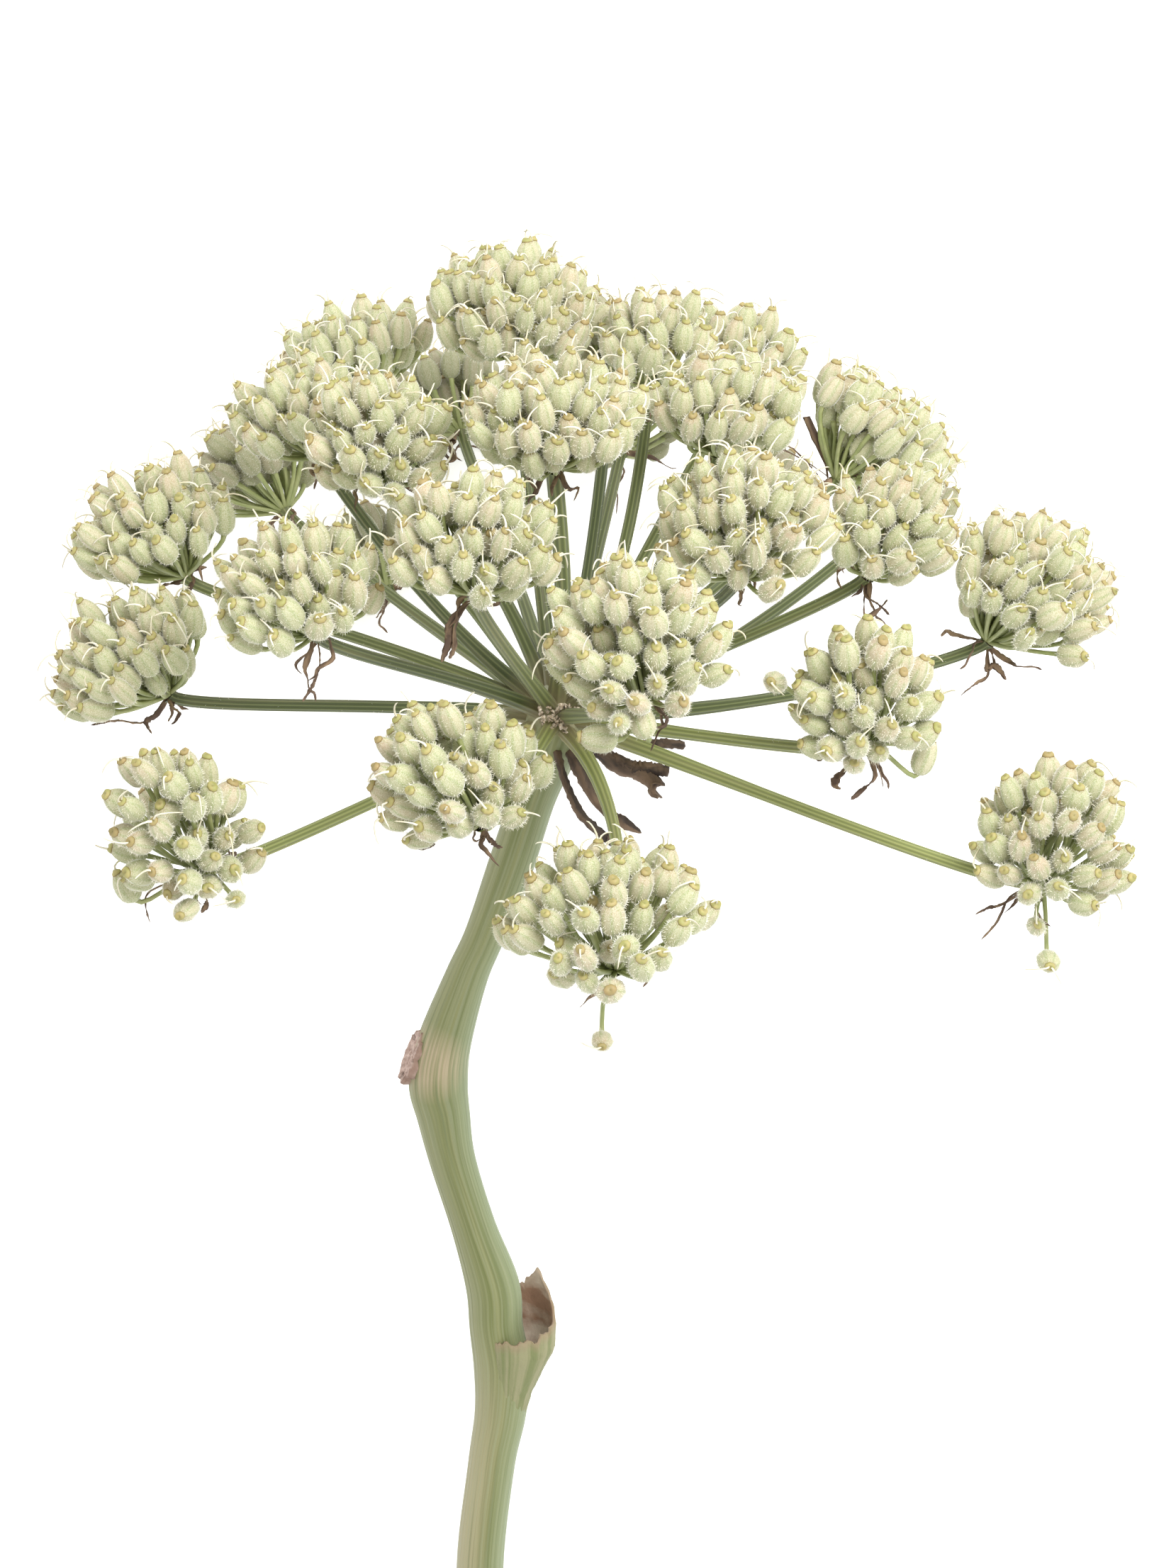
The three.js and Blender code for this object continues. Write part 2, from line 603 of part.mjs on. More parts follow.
plant.add(meshOf(makeStem(), "stem", COLORS.stem));
plant.add(meshOf(makeBracts(), "bracts", COLORS.bracts));
UMBELLETS.forEach((umbellet, i) => {
  plant.add(meshOf(makeTuft(umbellet, i + 1), `bracteoles_${names[i]}`, COLORS.bracteoles));
});
UMBELLETS.forEach((umbellet, i) => {
  plant.add(meshOf(makeUmbellet(umbellet, i + 1), `umbellet_${names[i]}`, COLORS.umbellet));
});

export default plant;
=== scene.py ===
# The finish of a cut stem of giant fennel in young fruit, which lies on its back and is seen from above.
# Sizes and places are in millimetres, in the model's frame, until a mesh is made in metres.
import math

import bpy
import numpy as np
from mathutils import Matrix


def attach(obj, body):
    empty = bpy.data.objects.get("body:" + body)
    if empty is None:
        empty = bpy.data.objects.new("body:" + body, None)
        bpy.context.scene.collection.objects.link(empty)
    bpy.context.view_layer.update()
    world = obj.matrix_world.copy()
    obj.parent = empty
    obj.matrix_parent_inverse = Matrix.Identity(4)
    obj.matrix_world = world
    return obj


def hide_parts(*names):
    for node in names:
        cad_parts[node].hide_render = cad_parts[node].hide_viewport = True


METRES = 0.001
UP = np.array([0.0, 0.0, 1.0])
GOLDEN_ANGLE = math.pi * (3 - math.sqrt(5))

# Where all rays meet. Everything else is placed from here.
HUB = np.array([-4.7, 50.3, 74.7])
FLOOR_GAP = 0.1

# Each umbellet, from the hub: the tip of its ray, the way its head faces, how far its fruits rise and reach
# from the tip before they begin, how far the outermost of them lean, in degrees, and how many there are.
UMBELLETS = [
    ((-7, 59, -5), (0.06, 0.9, 0.35), 8, 9.6, 78, 76),
    ((-0.2, 38, 35), (-0.02, 0.85, 0.5), 8, 11, 60, 70),
    ((-38, 41.9, 5), (-0.35, 0.85, 0.35), 6.2, 8.8, 52, 42),
    ((-26.7, 36, 28), (-0.05, 0.75, 0.65), 11.4, 5, 94, 45),
    ((-31.5, 54, -25), (-0.3, 0.95, 0), 8.2, 9.6, 76, 42),
    ((-47, 36, -44), (-0.5, 0.75, -0.2), 10.7, 8.9, 74, 36),
    ((15, 53.7, 0), (0.12, 0.9, 0.4), 6.4, 4.4, 70, 28),
    ((28, 53, -19), (0.32, 0.85, 0.2), 7.2, 4.3, 70, 28),
    ((25.4, 41.2, 18), (0.15, 0.83, 0.38), 6.2, 8.8, 48, 45),
    ((46, 39, -13), (0.64, 0.77, 0.05), 9.4, 14, 44, 53),
    ((28.2, 21, 42), (0, 0.8, 0.6), 12.3, 9, 87, 64),
    ((48.8, 21.9, 22), (0.36, 0.8, 0.5), 11.2, 4.8, 86, 42),
    ((69.8, 12.4, 0), (0.5, 0.74, 0.46), 15, 10, 78, 66),
    ((13.2, 1.8, 65), (-0.14, 0.75, 0.62), 17.4, 8.6, 97, 68),
    ((47, -4.6, 45), (-0.06, 0.75, 0.65), 14.7, 6.3, 112, 47),
    ((-11.2, -16.7, 60), (-0.32, 0.8, 0.55), 14.9, 9.3, 95, 53),
    ((-54.4, -23.6, 35), (-0.18, 0.62, 0.75), 18.4, 7.2, 113, 46),
    ((9, -38.4, 60), (-0.17, 0.8, 0.55), 14.6, 12, 89, 55),
    ((76.4, -26, 20), (0.12, 0.75, 0.6), 14.9, 8, 111, 53),
    ((-60.6, 23, -4), (-0.42, 0.85, 0.3), 10.1, 9.5, 70, 59),
    ((-62.2, 3.5, 8), (-0.62, 0.77, 0.38), 8.8, 9.6, 68, 57),
    ((-36.3, 12, 45), (-0.25, 0.8, 0.55), 11.8, 8.6, 90, 53),
    ((-12.1, 18, 50), (0.03, 0.85, 0.5), 11.2, 8, 89, 57),
    ((-30, 23, -60), (-0.4, 0.6, -0.55), 8.7, 7.9, 70, 28),
    ((-17, 50.5, -60.3), (-0.1, 0.8, -0.5), 8.7, 8.4, 72, 30),
    ((10.5, 45.8, -42), (0.1, 0.7, -0.6), 8.7, 7.9, 66, 24),
    ((8.4, 53.7, -20), (0.05, 0.95, 0.1), 8.7, 7, 68, 24),
    ((31.7, 36.2, -60), (0.4, 0.6, -0.6), 8.7, 7.9, 70, 26),
    ((51.7, 30.4, -32), (0.7, 0.65, -0.1), 9.7, 7.9, 70, 28),
]

# How far some rays swing aside in X and Y, a third of the way along, where the first handle counts for 4/9.
SWING_TO_HANDLE = 9 / 4
SWINGS = {
    2: (1.2, 0), 3: (-1.6, -1.5), 5: (2.2, 1.3), 7: (2.9, -0.8), 9: (1, -0.6), 13: (0.4, -2.1),
    18: (4.7, 1.1), 20: (0.6, 1.5), 21: (0.1, 0.9), 22: (0.3, 0.9), 25: (1, 0.4), 27: (1.1, -0.2),
    29: (1.6, -2.7),
}

# Fruits placed one by one, most of which stand apart on bare pedicels: their umbellet, their necks from the
# hub, their axes and their size.
STRAYS = [
    (14, (9.4, -4.4, 73), (-1, 0.1, 0.05), 1.05),
    (14, (12.7, -4.6, 77), (-0.35, 0.93, 0), 1.05),
    (15, (34.2, 4.7, 43), (-0.25, 0, 0.97), 0.95),
    (15, (55.4, -9.4, 43), (0.35, 0.9, 0.25), 1),
    (17, (-49.3, -28.5, 38), (0.1, 0, 0.99), 0.85),
    (17, (-64.7, -28.9, 36), (-0.55, 0.8, 0.2), 1),
    (18, (7.1, -48.5, 57), (0, -0.35, 0.94), 0.75),
    (18, (5.8, -31, 64), (-0.1, 0.55, 0.83), 1),
    (18, (8.4, -36, 66), (0.05, 0.2, 0.97), 0.95),
    (19, (75.3, -33.4, 22), (0, 0.1, 0.99), 0.9),
    (19, (77.5, -38, 20), (0, -0.3, 0.95), 0.9),
]

# Pedicels that have lost their fruits: umbellet and cut end, from the hub.
STUBS = [(10, (45.3, 48.4, -9)), (10, (49.4, 47, -9))]

# Fruits.
FRUIT_LENGTH = 5.8
FRUIT_WIDTH = 4
FRUIT_FLATNESS = 0.86
FRUIT_SIDES = 14
FRUIT_SPREAD = 0.13
# Half widths along a fruit, as shares: from its pedicel past the belly to the narrow neck below the cap.
FRUIT_PROFILE = np.array([
    (0, 0.18), (0.04, 0.45), (0.12, 0.73), (0.25, 0.94), (0.42, 1),
    (0.6, 0.98), (0.75, 0.88), (0.87, 0.72), (0.95, 0.55), (1, 0.42),
])
RIB_HEIGHT = 0.025
RIB_ENDS = (0.1, 0.9)
# The umbellets behind and below the others, whose fruits take painted shade: a darker, browner coat and less
# sheen.
PAINTED_SHADE_UMBELLETS = (6, 24, 25, 26, 27, 28, 29)

# How fruits spread over the dome of their head. Some stand deeper in it, at a share of the way out.
FRUIT_LEAN = 0.5
AXIS_SPREAD = 0.13
DOME_FOOT = 0.25
CORE_FOOT = 1.3
OUTER_STRETCH = 0.15
LEAN_SPREAD = 0.16
TURN_SPREAD = 0.3
LENGTH_SPREAD = 0.12
INNER_SHARE = 0.25
INNER_DEPTHS = (0.62, 0.85)

# How crowded fruits are pushed apart, and away from points on the rays. Each fruit stands as balls, at shares
# of its length. Each round takes a share of the overlaps away and pulls the fruits back a little.
BALLS = (0.3, 0.7)
BALL_WIDTH = FRUIT_WIDTH * 1.02
NEAR_FRUIT = FRUIT_WIDTH + 2.5
NEAR_RAY = FRUIT_WIDTH + 1
ROUNDS = 60
PUSH_BY_FRUITS = 0.3
PUSH_BY_RAYS = 0.4
PULL_BACK = 0.04
TINY = 1e-6
ROWS_AT_ONCE = 400
ROD_STEPS = 40
ROD_END = 0.93

# The cap on a fruit: its half width, half depth and height, the radius and height of its rings, and the
# groove between its two lobes.
CAP_SIZE = np.array([0.95, 0.78, 0.78])
CAP_SIDES = 8
CAP_RINGS = np.array([(0.8, -0.4), (1, 0), (0.93, 0.35), (0.6, 0.85), (0.03, 1)])
GROOVE_WIDTH = 0.24
GROOVE_DEPTH = 0.6
GROOVED_FROM = 0.5

# The styles on a cap: how far their foot is aside and up, their way aside and up, and the handles and end of
# their curve, in shares of their length up, aside and along that way.
STYLE_WIDTHS = 0.38 * np.array([1.25, 1, 0.85, 0.75, 0.7, 0.25])
STYLE_SIDES = 3
STYLE_LENGTHS = (2.2, 4.8)
STYLE_FOOT = (0.25, 0.468)
STYLE_WAY = (0.9, 0.6)
STYLE_SWAY = 0.5
STYLE_CURVE = [(0.35, 0.1, 0), (0, 0, 0.75), (-0.2, 0, 0.95)]
ASKEW = 1e-4
STYLED = 0.8
# Heads below this Y and above this Z, from the hub, turn to the camera, where fewer styles are seen.
STYLED_TOWARDS_CAMERA = 0.35
TURNED_BELOW_Y = 5
TURNED_ABOVE_Z = 15

# Pedicels start a little above and beside the ray's tip and end inside their fruits.
PEDICEL_WIDTHS = 0.85 * np.array([1.15, 1, 0.9, 0.88, 0.9, 1, 1.25])
PEDICEL_SIDES = 5
PEDICEL_UP = 0.4
PEDICEL_ASIDE = 0.7
PEDICEL_FLARE = 0.35
PEDICEL_STARTS = 0.4
PEDICEL_TURNS = 0.35
PEDICEL_BEND = 2.0
PEDICEL_INSIDE = 0.3

# Rays, which narrow from the hub and swell below their umbellets. Places are shares of their length.
RAY_WIDTH_AT_HUB = 2.8
RAY_WIDTH_AT_TIP = 1.9
RAY_NARROW_FROM = 1 / 3
RAY_SWELLS_FROM = 0.93
RAY_SWELL = 0.9
WIDE_RAYS = {2: 1.35}
RAY_STEPS = 26
RAY_SIDES = 27
RAY_RIBS = 9
RAY_RIB_HEIGHT = 0.06
# Each ray's share of lit yellow-green: a random spread above a floor that is high for rays in front, as
# painted light, and low for rays behind, as painted shade.
RAY_TINT_SPREAD = 0.35
RAY_PAINTED_LIGHT_IN_FRONT = 0.65
RAY_PAINTED_SHADE_BEHIND = 0.05
RAY_GRAIN_APART = 9
ROOT_RADIUS = 2.7
BOW_AT = 0.4
BOW_DEPTH = 0.01
NECK_LENGTH = 0.06

# Hairs are single triangles, fewer on the hidden umbellets.
HAIRS_ON_FRUIT = 240
HAIRS_WHERE_HIDDEN = 60
HIDDEN_FROM = 24
HAIRS_ON_RAY = 60
RAY_HAIR_ROOT = RAY_WIDTH_AT_TIP * 0.49
HAIR_LENGTH = 0.46
HAIR_LENGTHS = (0.6, 1.3)
RAY_HAIR_LENGTHS = (0.5, 1.1)
HAIR_WIDTH = 0.072
HAIR_ENDS = (0.03, 0.93)
HAIR_LIFT = 0.25
HAIR_TWIST = 0.8
HAIR_STRAY = 0.06
SLOPE_STEPS = 50

# The stem from its cut end to the hub: where its middle runs, from the hub, and its width. It is slimmer than
# the solid where the sheath goes round it.
STEM = [
    (-13, -176, -71.8, 7.8),
    (-14, -150, -62, 8.2),
    (-11.9, -130, -55.5, 8.1),
    (-10.2, -120, -52.5, 8.9),
    (-9.8, -112, -50, 9.8),
    (-10.8, -104.5, -47.5, 9.2),
    (-11.4, -97, -45, 9.2),
    (-14.6, -86.5, -41, 7.6),
    (-18, -75, -37, 7.8),
    (-19.5, -67, -34, 9),
    (-20.3, -61, -31.5, 10),
    (-19.1, -54, -28.5, 9),
    (-15.3, -43, -23, 7.1),
    (-12.2, -36, -19.5, 6.7),
    (-8, -25, -14, 7.5),
    (-4, -13, -7.5, 7.4),
    (-1.5, -5.5, -3.5, 9.4),
    (0, 0, 0, 10.8),
    (0.5, 3.5, 2.5, 7),
]
STEM_SIDES = 72
STEM_STEPS = 120
STEM_RIBS = 24
STEM_RIB_HEIGHT = 0.012
STEM_RIB_DEPTHS = (0.4, 1.2)
STEM_SEED = 7
GRAIN_RADIUS = 4
GRAIN_SHIFT = 500
BLADE_GRAIN = (0.4, 99, 12)

# Withered straps hang from the base of each umbellet.
STRAPS_IN_TUFT = 3
STRAP_WIDTH = 1
STRAP_THICKNESS = 0.32
STRAP_TAPER = (1.2, 1, 0.8, 0.5, 0.3)
STRAP_LENGTHS = (4, 12)
STRAP_TURN_SPREAD = 0.7
STRAP_ASIDE = 0.8
STRAP_BELOW = 0.2
STRAP_DOWN = (0.1, 0.9)
STRAP_KINK = 0.55
STRAP_TWIST = 3
STRAP_CRINKLE = 0.05
HANG = np.array([0.0, -0.25, 0.05])
TUFT_SEED = 500

# Longer straps and threads of those tufts: umbellet, width, and their course in X and Y from the ray's tip.
LONG_STRAP_BELOW = 0.3
LONG_STRAP_THICKNESS = 0.24
LONG_STRAP_TAPER = (0.5, 0.8, 1, 1.1, 0.9, 0.5)
LONG_STRAP_STEPS = 24
LONG_STRAP_TWIST = 2
LONG_STRAP_CRINKLE = 0.06
STRAPS = [
    (2, 1.2, [(-2, 2), (-6.5, 6), (-7.7, 3.4), (-6.5, 0.4)]),
    (2, 1.2, [(0.5, 4), (0.9, 6.7), (2.1, 3.4), (0.3, -0.1)]),
    (2, 1, [(-2, 4), (-4.3, 0.1), (-3, -3.2)]),
    (4, 1.4, [(3, 3), (8.3, 6.8), (10.1, 5.9), (10.8, 4.2), (9.3, 3.4)]),
    (4, 1.1, [(6, 5), (10.8, 7), (9.1, 5.2), (10.4, 3.6)]),
    (6, 1.4, [(-2.7, 2.9), (-0.8, 1.7), (1, 0.4)]),
    (10, 1.1, [(-3, 6), (-4.9, 10.8), (-2.1, 4.7), (-1.4, 0.4)]),
    (10, 0.9, [(-6, 4), (-10.2, 6.1), (-7.4, 5.7), (-4.1, 2.4), (-1.6, -0.7)]),
    (12, 1.1, [(0, -3), (1.8, -4.3), (3.7, -6.1)]),
    (12, 0.8, [(-0.2, -6.1), (2, -5.2), (3.4, -3.6)]),
    (13, 1.1, [(-0.1, -4.7), (1, -3.9), (2.2, -5), (3.1, -6.4)]),
    (13, 0.5, [(0.2, -5.3), (-2.1, -7), (-4.4, -8.9)]),
    (13, 1.2, [(-3, 0.5), (-5.5, 1.1), (-6.7, 1.6), (-7.5, 0.7)]),
    (15, 1.3, [(-2.8, -4), (-4.1, -5.3), (-4.3, -6.4), (-3.4, -7)]),
    (15, 1, [(1.8, -4.7), (0.2, -6.8), (-1.9, -8.6)]),
    (16, 1, [(-5, -1), (-10.2, -2.6), (-8.3, -3.6), (-6.5, -3)]),
    (16, 0.9, [(1.4, -2.2), (2.5, -3.3), (3.5, -3.6)]),
    (17, 1.2, [(-4, -2), (-8.5, -3.9), (-9, -6.3), (-8.3, -8.7)]),
    (17, 1, [(0.3, -4.3), (0.4, -5.7), (-0.4, -7.2)]),
    (19, 1.2, [(-2, -1), (-5, -2.9), (-6.8, -6.5), (-9.4, -9.5)]),
    (19, 0.5, [(-5.9, -3.7), (-8.1, -4.3), (-10.3, -5.4)]),
    (21, 1.3, [(-2.1, -3.2), (-3.7, -4.3), (-2.8, -6.3)]),
    (21, 0.5, [(-3.9, -4.3), (-8.4, -4.1), (-12.7, -4.9)]),
    (22, 0.6, [(0.4, -4.3), (-0.6, -7.6), (-2.3, -10.3)]),
    (23, 1.2, [(-3.7, -4.3), (-4, -7.2), (-5.1, -10.4)]),
    (23, 1, [(-2.9, -4.5), (-3.1, -7.8), (-3.9, -9.9)]),
]

# The dark bracts: each one's width, how that changes along it, its twist and its course from the hub.
BRACTS = [
    (1.5, (0.9, 0.8, 0.9, 1, 0.9, 0.9), 0.6, [
        (-0.3, -4.8, 2.6), (0.6, -8.5, 4.2), (2, -12.5, 5),
        (4.2, -16.4, 5.6), (8, -19.8, 6.5), (8.2, -18.8, 7.6),
    ]),
    (2.4, (0.8, 1, 0.9, 0.7, 1, 0.2), 0.9, [
        (1.8, -4.8, 2), (3.6, -9, 3.2), (6, -13.6, 4), (9.4, -17, 4.6), (13.6, -18.8, 6),
    ]),
    (2.9, (0.7, 0.9, 1, 1, 0.9, 0.9), 0.8, [
        (4, -4, 0), (7, -5.8, -0.6), (10, -8.4, -1.6),
        (13.4, -9.6, -2), (15.6, -11.6, -2), (14.6, -12.2, -0.6),
    ]),
    (2.4, (0.6, 1.1, 1, 0.8), 0.6, [
        (9, -6, -1.2), (12, -8.4, -1.6), (15, -8.8, -2), (18.2, -9.2, -2),
    ]),
    (1.6, (0.6, 0.8, 1, 1, 0.9), 0.4, [
        (5, -3.2, -1.2), (10, -4, -3.6), (14, -4.6, -5), (17.5, -4.4, -5.6), (21, -4.8, -6),
    ]),
]
BRACT_THICKNESS = 0.35
BRACT_CURL = math.radians(200)
BRACT_STEPS = 40
BRACT_CRINKLE = 0.1
BRACT_SEED = 91

# Crumbs between the roots of the rays.
CRUMBS_AT_HUB = 36
CRUMBS_AT = np.array([-0.3, 0, 8.6])
CRUMB_SPREAD = np.array([1.3, 1.0, 0.7])
CRUMB_WIDTH = 0.7
CRUMB_THICKNESS = 0.24
CRUMB_TAPER = (1, 1.2, 0.8, 0.4)
CRUMB_LENGTHS = (0.8, 2)
CRUMB_JOINTS = 4
CRUMB_STEPS = 7
CRUMB_TWIST = 2

# The scar where a leaf broke off: its middle from the hub, its half width and half height, and the middle of
# the beige skin beside it. Its rings go from its sunken edge to its middle, each with its radius and height.
SCAR_AT = (-24.7, -56.6, -29.1)
SCAR_DOWN = (-3.7, -8.7, -3.6)
SCAR_NORMAL = (-0.9, 0.3, 0.34)
SCAR_SIZE = (2.9, 4.9)
SCAR_BESIDE = (3, -1, 2.6)
SCAR_RINGS = [
    (0.9, -2.4), (1.02, -0.2), (1, 0.35), (0.9, 0.45),
    (0.8, 0.1), (0.5, 0), (0.25, 0.1), (0.01, 0.1),
]
SCAR_SIDES = 48
SCAR_RAGGED = 0.09
SCAR_ROUGH = 0.1
SCAR_SEED = 12

# The torn sheath: its foot and top on the stem's middle, how far up its rim stands by the angle round the
# stem, from behind to the front, and its radius by height, at its middle and at its ends.
SHEATH_FOOT = (-10.5, -128, -55)
SHEATH_TOP = (-11.7, -96, -44.8)
SHEATH_RIM = np.array([
    (-105, 0.78), (-62, 0.85), (-30, 1), (-12, 0.88),
    (4, 0.78), (20, 0.74), (60, 0.72), (105, 0.7),
])
SHEATH_PROFILE = np.array([
    (0, 2.8, 2.6), (0.22, 4.7, 3.4), (0.38, 6.4, 3.8), (0.52, 8.8, 3.7),
    (0.62, 10.6, 3.5), (0.74, 10.9, 3.4), (0.85, 10.6, 3.4), (1, 9.7, 3.2),
])
SHEATH_THICKNESS = 0.55
SHEATH_THINNER_BY = 1.6
SHEATH_COLUMNS = 60
SHEATH_ROWS = 30
SHEATH_TORN = 0.012
SHEATH_ROUGH = 0.05
SHEATH_HUG_WIDTH = 0.85
SHEATH_HUG_IN_FRONT = 1.5
SHEATH_HUG_BEHIND = 0.6
SHEATH_GRAIN_LENGTH = 32
SHEATH_SEED = 31

# The camera looks straight down from above a place near the hub, as far off as the perspective asks.
CAMERA_ABOVE_HUB = 750
CAMERA_FROM_HUB = (5.0, -10.8)
FRAME_HEIGHT = 254.4
SENSOR = 36.0
FLOOR_HALF_WIDTH = 3000
FLOOR_GLOW = 0.42
SKY = 0.97
KEY_AT = (250, 330, 720)
KEY_WIDTH = 400
KEY_POWER = 5.4


def unit(vectors):
    vectors = np.asarray(vectors, float)
    return vectors / np.linalg.norm(vectors, axis=-1, keepdims=True)


def across(direction):
    """Two unit vectors square to a direction and to each other."""
    reference = np.array([1.0, 0, 0]) if abs(direction[2]) > 0.9 else UP
    side = unit(np.cross(reference, direction))
    return side, np.cross(direction, side)


def bezier(start, first, second, end, shares):
    """Points on a batch of cubic curves, one row of points for each curve."""
    s = np.asarray(shares)[:, None]
    ends = (1 - s) ** 3 * start[..., None, :] + s ** 3 * end[..., None, :]
    middles = (1 - s) ** 2 * s * first[..., None, :] + (1 - s) * s ** 2 * second[..., None, :]
    return ends + 3 * middles


def smooth(points, steps):
    """A Catmull-Rom curve through points of any width."""
    points = np.asarray(points, float)
    padded = np.vstack([2 * points[0] - points[1], points, 2 * points[-1] - points[-2]])
    at = np.linspace(0, len(points) - 1, steps)
    i = np.minimum(at.astype(int), len(points) - 2)
    t = (at - i)[:, None]
    a, b, c, d = (padded[i + k] for k in range(4))
    return b + 0.5 * t * (c - a + t * (2 * a - 5 * b + 4 * c - d + t * (3 * (b - c) + d - a)))


def grid_faces(rings, sides):
    """The quads of a tube."""
    ring, side = np.meshgrid(np.arange(rings - 1), np.arange(sides), indexing="ij")
    here = ring * sides + side
    beside = ring * sides + (side + 1) % sides
    return np.stack([here, beside, beside + sides, here + sides], axis=-1).reshape(-1, 4)


def turns_of(sides):
    """Angles round a ring."""
    return np.linspace(0, 2 * math.pi, sides, endpoint=False)


def circle(sides):
    """The corners of a ring of radius 1, in its plane."""
    return np.stack([np.cos(turns_of(sides)), np.sin(turns_of(sides))], axis=-1)


def triples(x, y, z):
    """A row of three numbers for each place of a grid that x, y and z spread to."""
    return np.stack(np.broadcast_arrays(x, y, z), axis=-1).reshape(-1, 3)


def turned(sections, angles):
    """Each section of a line, turned in its plane by its angle."""
    cos, sin = np.cos(angles)[:, None], np.sin(angles)[:, None]
    x, y = sections[..., 0], sections[..., 1]
    return np.stack([x * cos - y * sin, x * sin + y * cos], axis=-1)


def sweep(centres, level, sections):
    """Rings of points round a batch of centre lines.

    centres has a row of points for each line, level a vector square to each line, and sections the corners
    of every ring in its plane, or whatever spreads to that.
    """
    tangents = unit(np.gradient(centres, axis=1))
    level = level[:, None, :]
    side = unit(level - (level * tangents).sum(-1, keepdims=True) * tangents)[:, :, None]
    other = np.cross(tangents[:, :, None], side)
    return centres[:, :, None] + sections[..., :1] * side + sections[..., 1:] * other


def repeated(faces, copies, points_each):
    """The faces of a shape, repeated for copies of it."""
    return (faces[None] + (np.arange(copies) * points_each)[:, None, None]).reshape(-1, faces.shape[1])


class Piece:
    """Collects points and faces in millimetres, and becomes one object in metres.

    Each point has looks, three shares that its material follows, such as its draw, how far along the shape
    and how far up a rib it is, and grain, a place in millimetres that the texture follows. Each face has
    paint, the index of its skin.
    """

    materials = {}

    def __init__(self):
        self.points, self.looks, self.grain = [], [], []
        self.corners, self.sizes, self.paints = [], [], []
        self.count = 0

    def add(self, points, faces, paint, looks, grain):
        points = points.reshape(-1, 3)
        self.points.append(points)
        self.looks.append(np.broadcast_to(np.reshape(looks, (-1, 3)), points.shape))
        self.grain.append(np.broadcast_to(np.reshape(grain, (-1, 3)), points.shape))
        self.corners.append((faces + self.count).ravel())
        self.sizes.append(np.full(len(faces), faces.shape[1]))
        self.paints.append(np.full(len(faces), paint))
        self.count += len(points)

    def make(self, name, skins, slot, *nodes):
        points = np.vstack(self.points)
        points[:, 2] = np.maximum(points[:, 2], FLOOR_GAP)
        corners, sizes = np.concatenate(self.corners), np.concatenate(self.sizes)
        mesh = bpy.data.meshes.new(name)
        mesh.vertices.add(len(points))
        mesh.vertices.foreach_set("co", (points * METRES).astype(np.float32).ravel())
        mesh.loops.add(len(corners))
        mesh.loops.foreach_set("vertex_index", corners.astype(np.int32))
        mesh.polygons.add(len(sizes))
        mesh.polygons.foreach_set("loop_start", (np.cumsum(sizes) - sizes).astype(np.int32))
        mesh.polygons.foreach_set("material_index", np.concatenate(self.paints).astype(np.int32))
        for name_of, values in (("looks", self.looks), ("grain", self.grain)):
            attribute = mesh.attributes.new(name_of, "FLOAT_VECTOR", "POINT")
            attribute.data.foreach_set("vector", np.vstack(values).astype(np.float32).ravel())
        mesh.update(calc_edges=True)
        mesh.validate()
        mesh.shade_smooth()
        for skin in skins:
            mesh.materials.append(self.materials[skin])
        piece = add_to_scene(name, mesh)
        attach(piece, "root")
        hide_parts(*nodes)


class Umbellet:
    """One umbellet's place, and its ray's curve."""

    def __init__(self, number, row):
        tip, faces, self.rise, self.reach, lean, self.fruits = row
        self.number = number
        self.from_hub = np.array(tip, float)
        self.tip = HUB + self.from_hub
        self.faces = unit(faces)
        self.side, self.other = across(self.faces)
        self.widest = math.radians(lean)
        self.away = unit(self.from_hub - self.from_hub.dot(self.faces) * self.faces)
        self.swing = np.array([*SWINGS.get(number, (0, 0)), 0]) * SWING_TO_HANDLE
        self.in_front = self.from_hub[1] < 0
        self.towards_camera = self.from_hub[1] < TURNED_BELOW_Y and self.from_hub[2] > TURNED_ABOVE_Z
        self.rng = np.random.default_rng(number)

    def ray(self, steps, end=1.0):
        """Points on the ray's curve, up to a share of it."""
        length = np.linalg.norm(self.from_hub)
        straight = self.from_hub / length
        start = HUB + straight * ROOT_RADIUS
        bow = HUB + straight * length * BOW_AT + self.swing - self.faces * length * BOW_DEPTH
        neck = self.tip - self.faces * length * NECK_LENGTH
        return bezier(start, bow, neck, self.tip, np.linspace(0, end, steps))


def head_fruits(umbellet):
    """Where the fruits of a head want to be: their necks, axes, outward directions, scales and umbellets."""
    count, draw = umbellet.fruits, umbellet.rng
    share = (np.arange(count) + 0.5) / count
    lean = np.arccos(1 - share * (1 - math.cos(umbellet.widest)))
    lean += (draw.random(count) - 0.5) * LEAN_SPREAD
    turn = np.arange(count) * GOLDEN_ANGLE + (draw.random(count) - 0.5) * TURN_SPREAD
    outs = np.cos(turn)[:, None] * umbellet.side + np.sin(turn)[:, None] * umbellet.other
    stretch = 1 + OUTER_STRETCH * outs @ umbellet.away
    stretch *= 1 + (draw.random(count) - 0.5) * LENGTH_SPREAD
    foot = umbellet.rise * DOME_FOOT
    height = CORE_FOOT + foot + (umbellet.rise - foot) * np.cos(lean) * stretch
    sideways = umbellet.reach * np.sin(lean) * stretch
    depth = np.where(draw.random(count) < INNER_SHARE, draw.uniform(*INNER_DEPTHS, count), 1)
    offset = height[:, None] * umbellet.faces + sideways[:, None] * outs
    tilt = (lean * FRUIT_LEAN)[:, None]
    axes = np.cos(tilt) * umbellet.faces + np.sin(tilt) * outs + draw.normal(0, AXIS_SPREAD, (count, 3))
    necks = umbellet.tip + offset * depth[:, None]
    return necks, unit(axes), outs, np.ones(count), np.full(count, umbellet.number)


def stray_fruit(umbellet, neck, axis, scale):
    """The same for one fruit whose place is listed."""
    place = HUB + neck
    aside = place - umbellet.tip
    out = unit(aside - aside.dot(umbellet.faces) * umbellet.faces)
    return place[None], unit([axis]), out[None], [scale], [umbellet.number]


